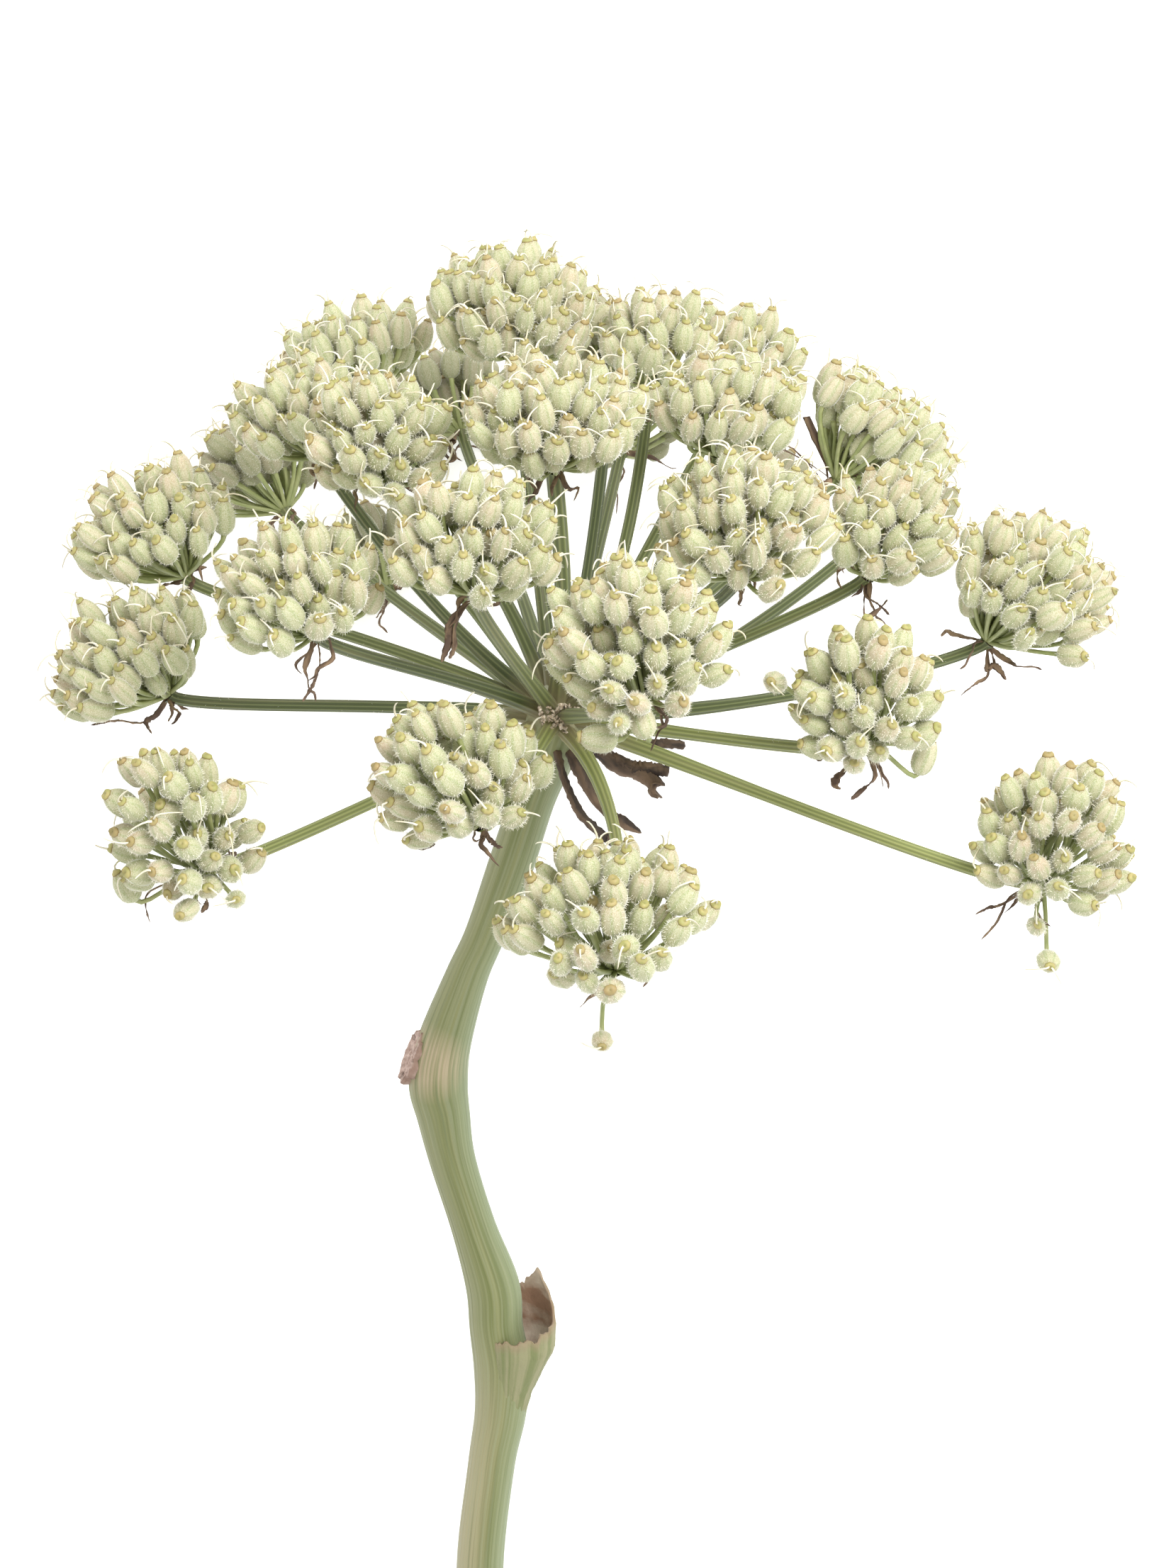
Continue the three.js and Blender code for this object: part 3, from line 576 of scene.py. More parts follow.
def all_fruits(umbellets):
    """The fruits of all heads and those listed one by one, one array for each value."""
    fruits = [head_fruits(umbellet) for umbellet in umbellets]
    fruits += [stray_fruit(umbellets[number - 1], *given) for number, *given in STRAYS]
    return [np.concatenate(values) for values in zip(*fruits)]


def near_pairs(points, others, reach):
    """Index pairs of points and others that lie nearer than a reach."""
    found = []
    for start in range(0, len(points), ROWS_AT_ONCE):
        some = points[start:start + ROWS_AT_ONCE]
        gaps = np.linalg.norm(some[:, None] - others[None], axis=-1)
        rows, columns = np.nonzero(gaps < reach)
        found.append(np.stack([rows + start, columns]))
    return np.hstack(found)


def ball_places(necks, axes, lengths):
    """The middles of all balls: all fruits' first ones, then the next."""
    return np.vstack([necks + axes * (lengths * at)[:, None] for at in BALLS])


def opened(gaps, room):
    """The moves that would open each gap to its room, and none where it is wide enough."""
    distance = np.linalg.norm(gaps, axis=1, keepdims=True) + TINY
    return gaps / distance * np.maximum(room[:, None] - distance, 0)


def jostle(necks, axes, scales, rods):
    """Fruits that crowd are pushed apart, and away from the rays, but stay near their places."""
    wanted = necks.copy()
    lengths = FRUIT_LENGTH * scales
    fruit = np.tile(np.arange(len(necks)), len(BALLS))
    radius = np.tile(BALL_WIDTH * scales * 0.5, len(BALLS))
    places = ball_places(necks, axes, lengths)
    first, second = near_pairs(places, places, NEAR_FRUIT)
    apart = fruit[first] < fruit[second]
    first, second = first[apart], second[apart]
    by_rod, rod = near_pairs(places, rods, NEAR_RAY)
    for _ in range(ROUNDS):
        places = ball_places(necks, axes, lengths)
        push = np.zeros_like(necks)
        step = opened(places[first] - places[second], radius[first] + radius[second]) * PUSH_BY_FRUITS
        np.add.at(push, fruit[first], step)
        np.add.at(push, fruit[second], -step)
        step = opened(places[by_rod] - rods[rod], radius[by_rod] + RAY_WIDTH_AT_HUB / 2) * PUSH_BY_RAYS
        np.add.at(push, fruit[by_rod], step)
        necks = necks + push + (wanted - necks) * PULL_BACK
    return necks


def fruit_shape():
    """A ribbed fruit of unit length and half width, along Z: its points, quads and looks."""
    turns = turns_of(FRUIT_SIDES)
    rib = np.where(np.arange(FRUIT_SIDES) % 2 == 0, 1.0, -1.0)
    at, half = FRUIT_PROFILE.T[:, :, None]
    swell = half * (1 + RIB_HEIGHT * rib * np.sin(np.clip(at, *RIB_ENDS) * math.pi))
    points = triples(swell * np.cos(turns), swell * np.sin(turns) * FRUIT_FLATNESS, at)
    return points, grid_faces(len(at), FRUIT_SIDES), triples(0, at, (rib + 1) / 2)


def cap_shape():
    """The two-lobed cap, 1 in radius and height, along Z."""
    radius, height = CAP_RINGS.T[:, :, None]
    turns = (np.arange(CAP_SIDES) + 0.5) / CAP_SIDES * 2 * math.pi
    x = radius * np.cos(turns)
    dip = 1 - GROOVE_DEPTH * np.exp(-(x / GROOVE_WIDTH) ** 2)
    points = triples(x, radius * np.sin(turns), height * np.where(height > GROOVED_FROM, dip, 1))
    return points, grid_faces(len(CAP_RINGS), CAP_SIDES), triples(0, np.maximum(height, 0), dip)


def hair_shape(draw, count):
    """Hairs on a fruit of unit length and half width: their feet, their ways and their flat sides."""
    at = draw.uniform(*HAIR_ENDS, count)
    turn = draw.uniform(0, 2 * math.pi, count)
    half = np.interp(at, *FRUIT_PROFILE.T)
    foot = np.stack([half * np.cos(turn), half * np.sin(turn) * FRUIT_FLATNESS, at], axis=-1)
    steps = np.linspace(0, 1, SLOPE_STEPS)
    slope = np.gradient(np.interp(steps, *FRUIT_PROFILE.T), 1 / (SLOPE_STEPS - 1))
    lift = -np.interp(at, steps, slope) * FRUIT_WIDTH / 2 / FRUIT_LENGTH
    way = unit(np.stack([np.cos(turn), np.sin(turn), lift + HAIR_LIFT], axis=-1))
    flat = unit(np.stack([-np.sin(turn), np.cos(turn), draw.normal(0, HAIR_TWIST, count)], axis=-1))
    return foot, way, flat


def stamped(shape, origins, frames, scales):
    """Copies of a shape's points: each turned into its frame of three rows, after scaling."""
    return origins[:, None] + (shape[None] * scales[:, None]) @ frames


def fruit_frames(axes, draw):
    """A turned frame for each fruit, with its axis last."""
    reference = unit(draw.normal(0, 1, axes.shape))
    side = unit(np.cross(reference, axes))
    return np.stack([side, np.cross(axes, side), axes], axis=1)


def with_draw(looks, draws):
    """Looks for copies, each with its own draw."""
    copies = np.repeat(looks[None], len(draws), axis=0)
    copies[..., 0] = draws[:, None]
    return copies


def add_fruits(piece, necks, frames, sizes, draws, draw):
    """Fruits with their caps, whose middles are given back."""
    tops = necks + frames[:, 2] * sizes[:, 2:]
    cap_sizes = CAP_SIZE * sizes[:, :1] * 2 / FRUIT_WIDTH
    shift = draw.uniform(0, GRAIN_SHIFT, (len(necks), 1, 3))
    shapes = ((fruit_shape(), necks, sizes), (cap_shape(), tops, cap_sizes))
    for paint, ((shape, faces, looks), feet, scales) in enumerate(shapes):
        points = stamped(shape, feet, frames, scales)
        grain = shape * scales[:, None] + shift
        piece.add(points, repeated(faces, len(feet), len(shape)), paint, with_draw(looks, draws), grain)
    return tops


def add_spikes(piece, feet, halves, ends, paint, tint):
    """Hairs as single triangles: their feet, half their widths and their ends."""
    points = np.stack([feet - halves, feet + halves, ends], axis=1)
    faces = np.arange(points.size // 3).reshape(-1, 3)
    piece.add(points, faces, paint, (tint, 0.5, 1), feet.mean(axis=0))


def add_hairs(piece, necks, frames, sizes, draws, draw, count):
    """Short hairs all over the fruits."""
    for neck, axes, size, tint in zip(necks, frames, sizes, draws):
        foot, way, flat = hair_shape(draw, count)
        feet = neck + (foot * size) @ axes
        ends = feet + way @ axes * HAIR_LENGTH * draw.uniform(*HAIR_LENGTHS, (count, 1))
        ends += draw.normal(0, HAIR_STRAY, (count, 3))
        add_spikes(piece, feet, flat @ axes * HAIR_WIDTH / 2, ends, 2, tint)


def add_tubes(piece, lines, level, widths, sides, paint, looks):
    """Tubes along a batch of lines, with the width of each of their rings."""
    points = sweep(lines, level, widths[:, None, None] / 2 * circle(sides))
    faces = repeated(grid_faces(len(widths), sides), len(lines), len(widths) * sides)
    piece.add(points, faces, paint, looks, points)


def add_styles(piece, tops, frames, share, draw):
    """Two curved styles on a share of the caps."""
    for sign in (1, -1):
        kept = draw.random(len(tops)) < share
        axis, side = frames[kept, 2], frames[kept, 0] * sign
        start = tops[kept] + side * STYLE_FOOT[0] + axis * STYLE_FOOT[1]
        bend = draw.normal(0, STYLE_SWAY, axis.shape)
        way = unit(side * STYLE_WAY[0] + axis * STYLE_WAY[1] + bend)
        length = draw.uniform(*STYLE_LENGTHS, (len(axis), 1))
        places = [start + length * (up * axis + aside * side + on * way) for up, aside, on in STYLE_CURVE]
        lines = bezier(start, *places, np.linspace(0, 1, len(STYLE_WIDTHS)))
        level = unit(np.cross(axis, way) + ASKEW)
        add_tubes(piece, lines, level, STYLE_WIDTHS, STYLE_SIDES, 3, (0.5, 0.5, 0.5))


def add_pedicels(piece, umbellet, necks, axes, outs, draws):
    """Green pedicels from the ray's tip, which leave sideways and turn up into their fruits."""
    base = umbellet.tip + umbellet.faces * PEDICEL_UP + outs * PEDICEL_ASIDE
    spread = unit(necks - umbellet.tip)
    length = np.linalg.norm(necks - base, axis=1, keepdims=True)
    first = base + unit(spread + outs * PEDICEL_FLARE) * length * PEDICEL_STARTS
    second = necks - axes * np.minimum(length * PEDICEL_TURNS, PEDICEL_BEND)
    shares = np.linspace(0, 1, len(PEDICEL_WIDTHS))
    lines = bezier(base, first, second, necks + axes * PEDICEL_INSIDE, shares)
    level = unit(np.cross(umbellet.faces, outs))
    looks = triples(draws[:, None, None], shares[:, None], np.arange(PEDICEL_SIDES) % 2)
    add_tubes(piece, lines, level, PEDICEL_WIDTHS, PEDICEL_SIDES, 0, looks)


def make_umbellet(umbellet, necks, axes, outs, scales):
    """One umbellet's fruits, with their hairs and styles, and its pedicels."""
    draw = umbellet.rng
    count = len(necks)
    draws = draw.random(count)
    frames = fruit_frames(axes, draw)
    widths = FRUIT_WIDTH / 2 * draw.uniform(1 - FRUIT_SPREAD, 1 + FRUIT_SPREAD, (count, 1))
    lengths = FRUIT_LENGTH * draw.uniform(1 - FRUIT_SPREAD, 1 + FRUIT_SPREAD / 2, (count, 1))
    sizes = np.hstack([widths, widths, lengths]) * scales[:, None]
    number = f"{umbellet.number:02d}"
    fruits = Piece()
    tops = add_fruits(fruits, necks, frames, sizes, draws, draw)
    hairs = HAIRS_WHERE_HIDDEN if umbellet.number >= HIDDEN_FROM else HAIRS_ON_FRUIT
    add_hairs(fruits, necks, frames, sizes, draws, draw, hairs)
    add_styles(fruits, tops, frames, STYLED_TOWARDS_CAMERA if umbellet.towards_camera else STYLED, draw)
    # Umbellets behind the others get the copy of the fruit material with painted shade.
    skin = "shaded fruit" if umbellet.number in PAINTED_SHADE_UMBELLETS else "fruit"
    fruits.make(f"fruits_{number}", (skin, "cap", "hair", "style"), "fruit", f"umbellet_{number}")
    pedicels = Piece()
    add_pedicels(pedicels, umbellet, necks, axes, outs, draws)
    for head, end in STUBS:
        if head == umbellet.number:
            stub = (HUB + end)[None]
            way = unit(stub - umbellet.tip)
            add_pedicels(pedicels, umbellet, stub, way, unit(np.cross(umbellet.side[None], way)), draws[:1])
    pedicels.make(f"pedicels_{number}", ("pedicel",), "stem", f"umbellet_{number}")


def make_rays(umbellets):
    """Ribbed rays that swell a little at the hub and below their umbellets."""
    rays = Piece()
    shares = np.linspace(0, 1, RAY_STEPS)
    turns = turns_of(RAY_SIDES)
    rib = np.cos(turns * RAY_RIBS)
    narrowed = np.minimum(shares / RAY_NARROW_FROM, 1)
    width = RAY_WIDTH_AT_HUB + (RAY_WIDTH_AT_TIP - RAY_WIDTH_AT_HUB) * narrowed
    width += RAY_SWELL * np.clip((shares - RAY_SWELLS_FROM) / (1 - RAY_SWELLS_FROM), 0, 1) ** 2
    ring = (1 + RAY_RIB_HEIGHT * rib[:, None]) * circle(RAY_SIDES)
    for umbellet in umbellets:
        line = umbellet.ray(RAY_STEPS)
        level = unit(np.cross(umbellet.from_hub, umbellet.faces))
        sections = WIDE_RAYS.get(umbellet.number, 1) * width[:, None, None] / 2 * ring
        # Rays in front are painted lit, rays behind are in painted shade.
        painted_light_from = RAY_PAINTED_LIGHT_IN_FRONT if umbellet.in_front else RAY_PAINTED_SHADE_BEHIND
        looks = triples(umbellet.rng.random() * RAY_TINT_SPREAD + painted_light_from, shares[:, None], (rib + 1) / 2)
        arc = shares[:, None] * np.linalg.norm(umbellet.from_hub)
        grain = triples(np.cos(turns) + umbellet.number * RAY_GRAIN_APART, np.sin(turns), arc)
        points = sweep(line[None], level[None], sections)
        rays.add(points, grid_faces(RAY_STEPS, RAY_SIDES), 0, looks, grain)
        add_ray_hairs(rays, umbellet, line)
    rays.make("rays", ("ray", "hair"), "stem", "stem")


def add_ray_hairs(rays, umbellet, line):
    """Short hairs along one ray."""
    draw = umbellet.rng
    pick = draw.integers(2, RAY_STEPS - 1, HAIRS_ON_RAY)
    blend = draw.random((HAIRS_ON_RAY, 1))
    centre = line[pick] * blend + line[pick - 1] * (1 - blend)
    tangent = unit(line[pick] - line[pick - 1])
    way = unit(np.cross(tangent, draw.normal(0, 1, (HAIRS_ON_RAY, 3))))
    foot = centre + way * RAY_HAIR_ROOT
    length = HAIR_LENGTH * draw.uniform(*RAY_HAIR_LENGTHS, (HAIRS_ON_RAY, 1))
    add_spikes(rays, foot, tangent * HAIR_WIDTH / 2, foot + unit(way + tangent / 2) * length, 1, 0.5)


def make_stem():
    """The ribbed stem with its hub."""
    rows = smooth(STEM, STEM_STEPS)
    line = rows[:, :3] + HUB
    shares = np.linspace(0, 1, STEM_STEPS)
    turns = turns_of(STEM_SIDES)
    depths = np.random.default_rng(STEM_SEED).uniform(*STEM_RIB_DEPTHS, STEM_RIBS)
    rib = np.cos(turns * STEM_RIBS) * np.repeat(depths, STEM_SIDES // STEM_RIBS)
    sections = rows[:, 3:, None] / 2 * (1 + STEM_RIB_HEIGHT * rib[:, None]) * circle(STEM_SIDES)
    points = sweep(line[None], UP[None], sections)
    arc = np.concatenate([[0], np.cumsum(np.linalg.norm(np.diff(line, axis=0), axis=1))])
    looks = triples(0.5, shares[:, None], (rib + 1) / 2)
    grain = triples(GRAIN_RADIUS * np.cos(turns), GRAIN_RADIUS * np.sin(turns), arc[:, None])
    stem = Piece()
    stem.add(points, grid_faces(STEM_STEPS, STEM_SIDES), 0, looks, grain)
    for end in (0, STEM_STEPS - 1):
        ring = points[0, end]
        cap = np.vstack([ring, ring.mean(axis=0)])
        order = np.arange(STEM_SIDES) if end else np.arange(STEM_SIDES)[::-1]
        faces = np.stack([order, np.roll(order, -1), np.full(STEM_SIDES, STEM_SIDES)], axis=-1)
        stem.add(cap, faces, 1, (0, 0, 0.5), cap)
    stem.make("stem_shaft", ("stem", "pith"), "stem", "stem")


def flat_section(width, thickness, corners=6):
    """The section of a flat strap."""
    return circle(corners) * np.array([width, thickness]) / 2


def crescent(width, thickness, curl, corners=8):
    """The section of a hollow blade: an arc there, and a thinner one back."""
    angles = np.linspace(-curl, curl, corners) / 2
    radius = width / 2 / math.sin(min(curl / 2, math.pi / 2))
    arc = np.stack([np.sin(angles), 1 - np.cos(angles)], axis=-1)
    back = arc * (radius - thickness) + (0, thickness)
    return np.vstack([arc * radius, back[::-1]])


def add_blade(piece, path, section, widths, twist, draw, crinkle, steps=20, paint=0, faces=None):
    """A withered blade along a path, twisted, crinkled and closed at both ends."""
    line = smooth(path, steps)
    shares = np.linspace(0, 1, steps)
    at = np.linspace(0, 1, len(widths))
    sections = turned(section * np.interp(shares, at, widths)[:, None, None], twist * shares)
    level = np.cross(line[-1] - line[0], draw.normal(0, 1, 3) if faces is None else faces)
    points = sweep(line[None], unit(level)[None], sections)
    points = points + draw.normal(0, crinkle, points.shape) * np.interp(shares, at, widths)[:, None, None]
    points[:, [0, -1]] = points[:, [0, -1]].mean(axis=2, keepdims=True)
    sides = len(section)
    looks = triples(draw.random(), shares[:, None], np.zeros(sides))
    grain = triples(np.arange(sides), draw.random(), shares[:, None]) * BLADE_GRAIN
    piece.add(points, grid_faces(steps, sides), paint, looks, grain)


def wandering(start, way, length, kink, draw, joints=7):
    """A path that sets out one way and turns at every joint."""
    path = [start]
    for _ in range(joints):
        way = unit(way + draw.normal(0, kink, 3) + HANG)
        path.append(path[-1] + way * length / joints)
    return path


def make_withered(umbellet):
    """The tuft of withered bracteoles that hangs behind one umbellet."""
    draw = np.random.default_rng(umbellet.number + TUFT_SEED)
    tuft = Piece()
    strap = flat_section(STRAP_WIDTH, STRAP_THICKNESS)
    for i in range(STRAPS_IN_TUFT):
        turn = (i + draw.random() * STRAP_TURN_SPREAD) * 2 * math.pi / STRAPS_IN_TUFT
        out = math.cos(turn) * umbellet.side + math.sin(turn) * umbellet.other
        start = umbellet.tip + out * STRAP_ASIDE - umbellet.faces * STRAP_BELOW
        way = unit(out - umbellet.faces * draw.uniform(*STRAP_DOWN))
        path = wandering(start, way, draw.uniform(*STRAP_LENGTHS), STRAP_KINK, draw)
        add_blade(tuft, path, strap, STRAP_TAPER, draw.normal(0, STRAP_TWIST), draw, STRAP_CRINKLE)
    for width, route in [row[1:] for row in STRAPS if row[0] == umbellet.number]:
        places = [(0, 0, -LONG_STRAP_BELOW), *((x, y, 0) for x, y in route)]
        strap = flat_section(width, LONG_STRAP_THICKNESS)
        add_blade(tuft, umbellet.tip + np.array(places), strap, LONG_STRAP_TAPER,
                  draw.normal(0, LONG_STRAP_TWIST), draw, LONG_STRAP_CRINKLE, LONG_STRAP_STEPS)
    number = f"{umbellet.number:02d}"
    tuft.make(f"withered_{number}", ("brown",), "bracteoles", f"bracteoles_{number}")


def make_bracts():
    """The dark withered bracts below the hub, and the crumbs between the rays' roots."""
    bracts = Piece()
    draw = np.random.default_rng(BRACT_SEED)
    for width, widths, twist, path in BRACTS:
        section = crescent(width, BRACT_THICKNESS, BRACT_CURL)
        add_blade(bracts, HUB + path, section, widths, twist, draw, BRACT_CRINKLE, BRACT_STEPS, faces=UP)
    crumb = flat_section(CRUMB_WIDTH, CRUMB_THICKNESS, 5)
    for _ in range(CRUMBS_AT_HUB):
        start = HUB + CRUMBS_AT + draw.normal(0, 1, 3) * CRUMB_SPREAD
        path = wandering(start, draw.normal(0, 1, 3), draw.uniform(*CRUMB_LENGTHS), 1, draw, CRUMB_JOINTS)
        add_blade(bracts, path, crumb, CRUMB_TAPER, CRUMB_TWIST, draw, BRACT_CRINKLE, CRUMB_STEPS, paint=1)
    bracts.make("hub_bracts", ("bract", "crumb"), "bracts", "bracts")


def make_leaf_scar():
    """The flat ragged scar where a leaf broke off."""
    draw = np.random.default_rng(SCAR_SEED)
    down = unit(SCAR_DOWN)
    normal = unit(SCAR_NORMAL)
    normal = unit(normal - normal.dot(down) * down)
    wide = np.cross(normal, down)
    edge = circle(SCAR_SIDES) * (1 + SCAR_RAGGED * draw.normal(0, 1, (SCAR_SIDES, 1))) * SCAR_SIZE
    rings, looks = [], []
    for radius, height in SCAR_RINGS:
        rough = height + draw.normal(0, SCAR_ROUGH, (SCAR_SIDES, 1)) * (radius > SCAR_RINGS[-1][0])
        rings.append(radius * edge[:, :1] * wide + radius * edge[:, 1:] * down + rough * normal)
        looks += [(0.5, radius, 0.5)] * SCAR_SIDES
    points = np.array(rings) + HUB + SCAR_AT
    scar = Piece()
    scar.add(points, grid_faces(len(rings), SCAR_SIDES), 0, looks, points)
    scar.make("leaf_scar", ("scar",), "stem", "stem")


def sheath_skins(draw, around, up):
    """How far up each place of the sheath is, and its outer and inner skin."""
    rim = np.interp(np.degrees(around), *SHEATH_RIM.T) + draw.normal(0, SHEATH_TORN, len(around))
    share = up[:, None] * rim
    foot, top = HUB + SHEATH_FOOT, HUB + SHEATH_TOP
    centre = foot + (top - foot) * share[..., None]
    axis = unit(top - foot)
    right = unit(np.array([1.0, 0, 0]) - axis[0] * axis)
    way = np.cos(around)[:, None] * right + np.sin(around)[:, None] * np.cross(right, axis)
    at, reach, close = SHEATH_PROFILE.T
    sharpness = np.where(around > 0, SHEATH_HUG_IN_FRONT, SHEATH_HUG_BEHIND)
    hug = np.clip(np.cos(around * SHEATH_HUG_WIDTH), 0, 1) ** sharpness
    radius = np.interp(share, at, close) * (1 - hug) + np.interp(share, at, reach) * hug
    radius = radius + draw.normal(0, SHEATH_ROUGH, radius.shape)
    outer = centre + radius[..., None] * way
    inner = centre + (radius - SHEATH_THICKNESS * (SHEATH_THINNER_BY - share))[..., None] * way
    return share, outer, inner


def make_sheath():
    """The torn base of a leaf sheath: a half collar, low in front and drawn up to a point behind."""
    around = np.radians(np.linspace(SHEATH_RIM[0, 0], SHEATH_RIM[-1, 0], SHEATH_COLUMNS))
    up = np.linspace(0, 1, SHEATH_ROWS)
    share, outer, inner = sheath_skins(np.random.default_rng(SHEATH_SEED), around, up)
    there_and_back = [np.concatenate([values, values[::-1]]) for values in (share, up[:, None])]
    inside = np.repeat([0.0, 1.0], SHEATH_ROWS)[:, None]
    looks = triples(*there_and_back, inside)
    grain = triples(GRAIN_RADIUS * np.cos(around), GRAIN_RADIUS * np.sin(around),
                    there_and_back[0] * SHEATH_GRAIN_LENGTH)
    rows = 2 * SHEATH_ROWS
    row, column = np.meshgrid(np.arange(rows), np.arange(SHEATH_COLUMNS - 1), indexing="ij")
    here, above = row * SHEATH_COLUMNS + column, (row + 1) % rows * SHEATH_COLUMNS + column
    faces = np.stack([here, here + 1, above + 1, above], axis=-1).reshape(-1, 4)
    sheath = Piece()
    sheath.add(np.concatenate([outer, inner[::-1]]), faces, 0, looks, grain)
    sheath.make("sheath_stub", ("sheath",), "stem", "stem")


class Shading:
    """A Principled material with its nodes. Its colour is built up in coats."""

    def __init__(self, name, base, roughness, sheen=0.0, sheen_tint=(1, 1, 1)):
        self.material = bpy.data.materials.new(name)
        self.material.use_nodes = True
        self.tree = self.material.node_tree
        self.shader = self.tree.nodes["Principled BSDF"]
        self.base = base
        constants = {
            "Roughness": roughness,
            "Sheen Weight": sheen,
            "Sheen Roughness": 0.3,
            "Sheen Tint": sheen_tint,
        }
        for socket, value in constants.items():
            self.link(value, self.shader.inputs[socket])

    def link(self, value, socket):
        if isinstance(value, bpy.types.NodeSocket):
            self.tree.links.new(value, socket)
        elif isinstance(value, tuple) and len(socket.default_value) == 4:
            socket.default_value = (*value, 1)
        else:
            socket.default_value = value

    def node(self, kind, *values, operation=None):
        """A new node, with values or links for its first sockets."""
        node = self.tree.nodes.new(f"ShaderNode{kind}")
        if operation:
            node.operation = operation
        for socket, value in zip(node.inputs, values):
            self.link(value, socket)
        return node

    def attribute(self, name):
        node = self.node("Attribute")
        node.attribute_name = name
        return node.outputs["Vector"]

    def parts(self, vector):
        return self.node("SeparateXYZ", vector).outputs

    def looks(self):
        return self.parts(self.attribute("looks"))

    def distance(self, vector, place):
        return self.node("VectorMath", vector, place, operation="DISTANCE").outputs["Value"]

    def noise(self, vector, scale, detail=3):
        """Noise at one scale, or at one for each axis."""
        if isinstance(scale, tuple):
            vector = self.node("VectorMath", vector, scale, operation="MULTIPLY").outputs["Vector"]
            scale = 1
        node = self.node("TexNoise", vector)
        node.inputs["Scale"].default_value = scale
        node.inputs["Detail"].default_value = detail
        return node.outputs["Fac"]

    def spread(self, value, low, high, most=1.0):
        """0 where the value is low, and most where it is high."""
        return self.node("MapRange", value, low, high, 0.0, most).outputs["Result"]

    def times(self, first, second):
        return self.node("Math", first, second, operation="MULTIPLY").outputs[0]

    def mix(self, share, first, second):
        """Two colours mixed. The node's sockets 6 and 7 and its output 2 are the ones for colours."""
        node = self.tree.nodes.new("ShaderNodeMix")
        node.data_type = "RGBA"
        for socket, value in ((0, share), (6, first), (7, second)):
            self.link(value, node.inputs[socket])
        return node.outputs[2]

    def coat(self, colour, share, *limits):
        """A colour over the base, by a share or by how far a value is between its limits."""
        share = self.spread(share, *limits) if limits else share
        self.base = self.mix(share, self.base, colour)

    def bump(self, height, distance, strength=1.0):
        node = self.node("Bump", strength, distance * METRES)
        self.link(height, node.inputs["Height"])
        self.link(node.outputs["Normal"], self.shader.inputs["Normal"])

    def finish(self):
        self.link(self.base, self.shader.inputs["Base Color"])
        return self.material


def fruit_material(name, sheen, painted_shade):
    """Pale grey-green with greener ribs and foot, a warm blush near some caps, painted shade in a ring below
    the cap, and a white bloom of fuzz.
    """
    s = Shading(name, (0.42, 0.43, 0.225), 0.8, sheen)
    draw, along, rib = s.looks()
    grain = s.attribute("grain")
    s.coat((0.50, 0.45, 0.285), draw, 0.2, 1)
    s.coat((0.29, 0.34, 0.13), rib, 0.45, 0.95, 0.85)
    s.coat((0.34, 0.40, 0.17), along, 0.3, 0, 0.5)
    blush = s.times(s.spread(s.noise(grain, 0.35), 0.48, 0.64), s.spread(draw, 0.4, 0.9))
    s.coat((0.50, 0.35, 0.23), s.times(blush, s.spread(along, 0.35, 0.9, 0.75)))
    # Painted shade in a dark ring at the neck, where the cap sits on the fruit.
    s.coat((0.30, 0.24, 0.09), along, 0.9, 0.99, 0.6)
    s.coat((0.76, 0.74, 0.59), s.noise(grain, 6, 4), 0.36, 0.64, 0.5)
    # Painted shade, darker and browner, on the fruits of the umbellets that lie behind the others.
    s.coat((0.10, 0.08, 0.05), painted_shade)
    s.bump(rib, 0.1, 0.6)
    return s.finish()


def cap_material():
    """Yellow-green in patches and browner on some fruits, with painted shade at its foot, where it meets the
    fruit, and in the groove.
    """
    s = Shading("fruit_cap", (0.36, 0.35, 0.115), 0.55)
    draw, height, dip = s.looks()
    s.coat((0.46, 0.39, 0.155), s.noise(s.attribute("grain"), 0.9), 0.4, 0.62)
    s.coat((0.36, 0.24, 0.11), draw, 0.6, 1, 0.7)
    # Painted shade at the foot of the cap, where it meets the fruit.
    s.coat((0.20, 0.12, 0.05), height, 0.2, 0, 0.85)
    # Painted shade in the groove between the two lobes.
    s.coat((0.22, 0.20, 0.07), dip, 0.9, 0.4, 0.6)
    return s.finish()


def plain_material(name, colour, dark, roughness, scale, sheen=0.0):
    """One colour with darker mottling."""
    s = Shading(name, colour, roughness, sheen)
    s.coat(dark, s.noise(s.attribute("grain"), scale), 0.4, 0.7)
    return s.finish()


def ray_material():
    """Dark green in painted shade behind to lit yellow-green in front, with lighter ribs, long faint streaks
    and a beige foot.
    """
    s = Shading("ray_green", (0.07, 0.095, 0.028), 0.5, 0.08)
    draw, along, rib = s.looks()
    # More yellow-green is painted light on rays in front, less is painted shade on rays behind.
    s.coat((0.34, 0.37, 0.11), draw)
    s.coat((0.38, 0.41, 0.19), rib, 0.5, 1, 0.35)
    s.coat((0.045, 0.06, 0.02), rib, 0.6, 0.25, 0.45)
    s.coat((0.28, 0.24, 0.12), s.noise(s.attribute("grain"), (1.5, 1.5, 0.05)), 0.5, 0.7, 0.3)
    s.coat((0.36, 0.30, 0.18), along, 0.13, 0.02, 0.85)
    s.bump(rib, 0.2, 0.5)
    return s.finish()


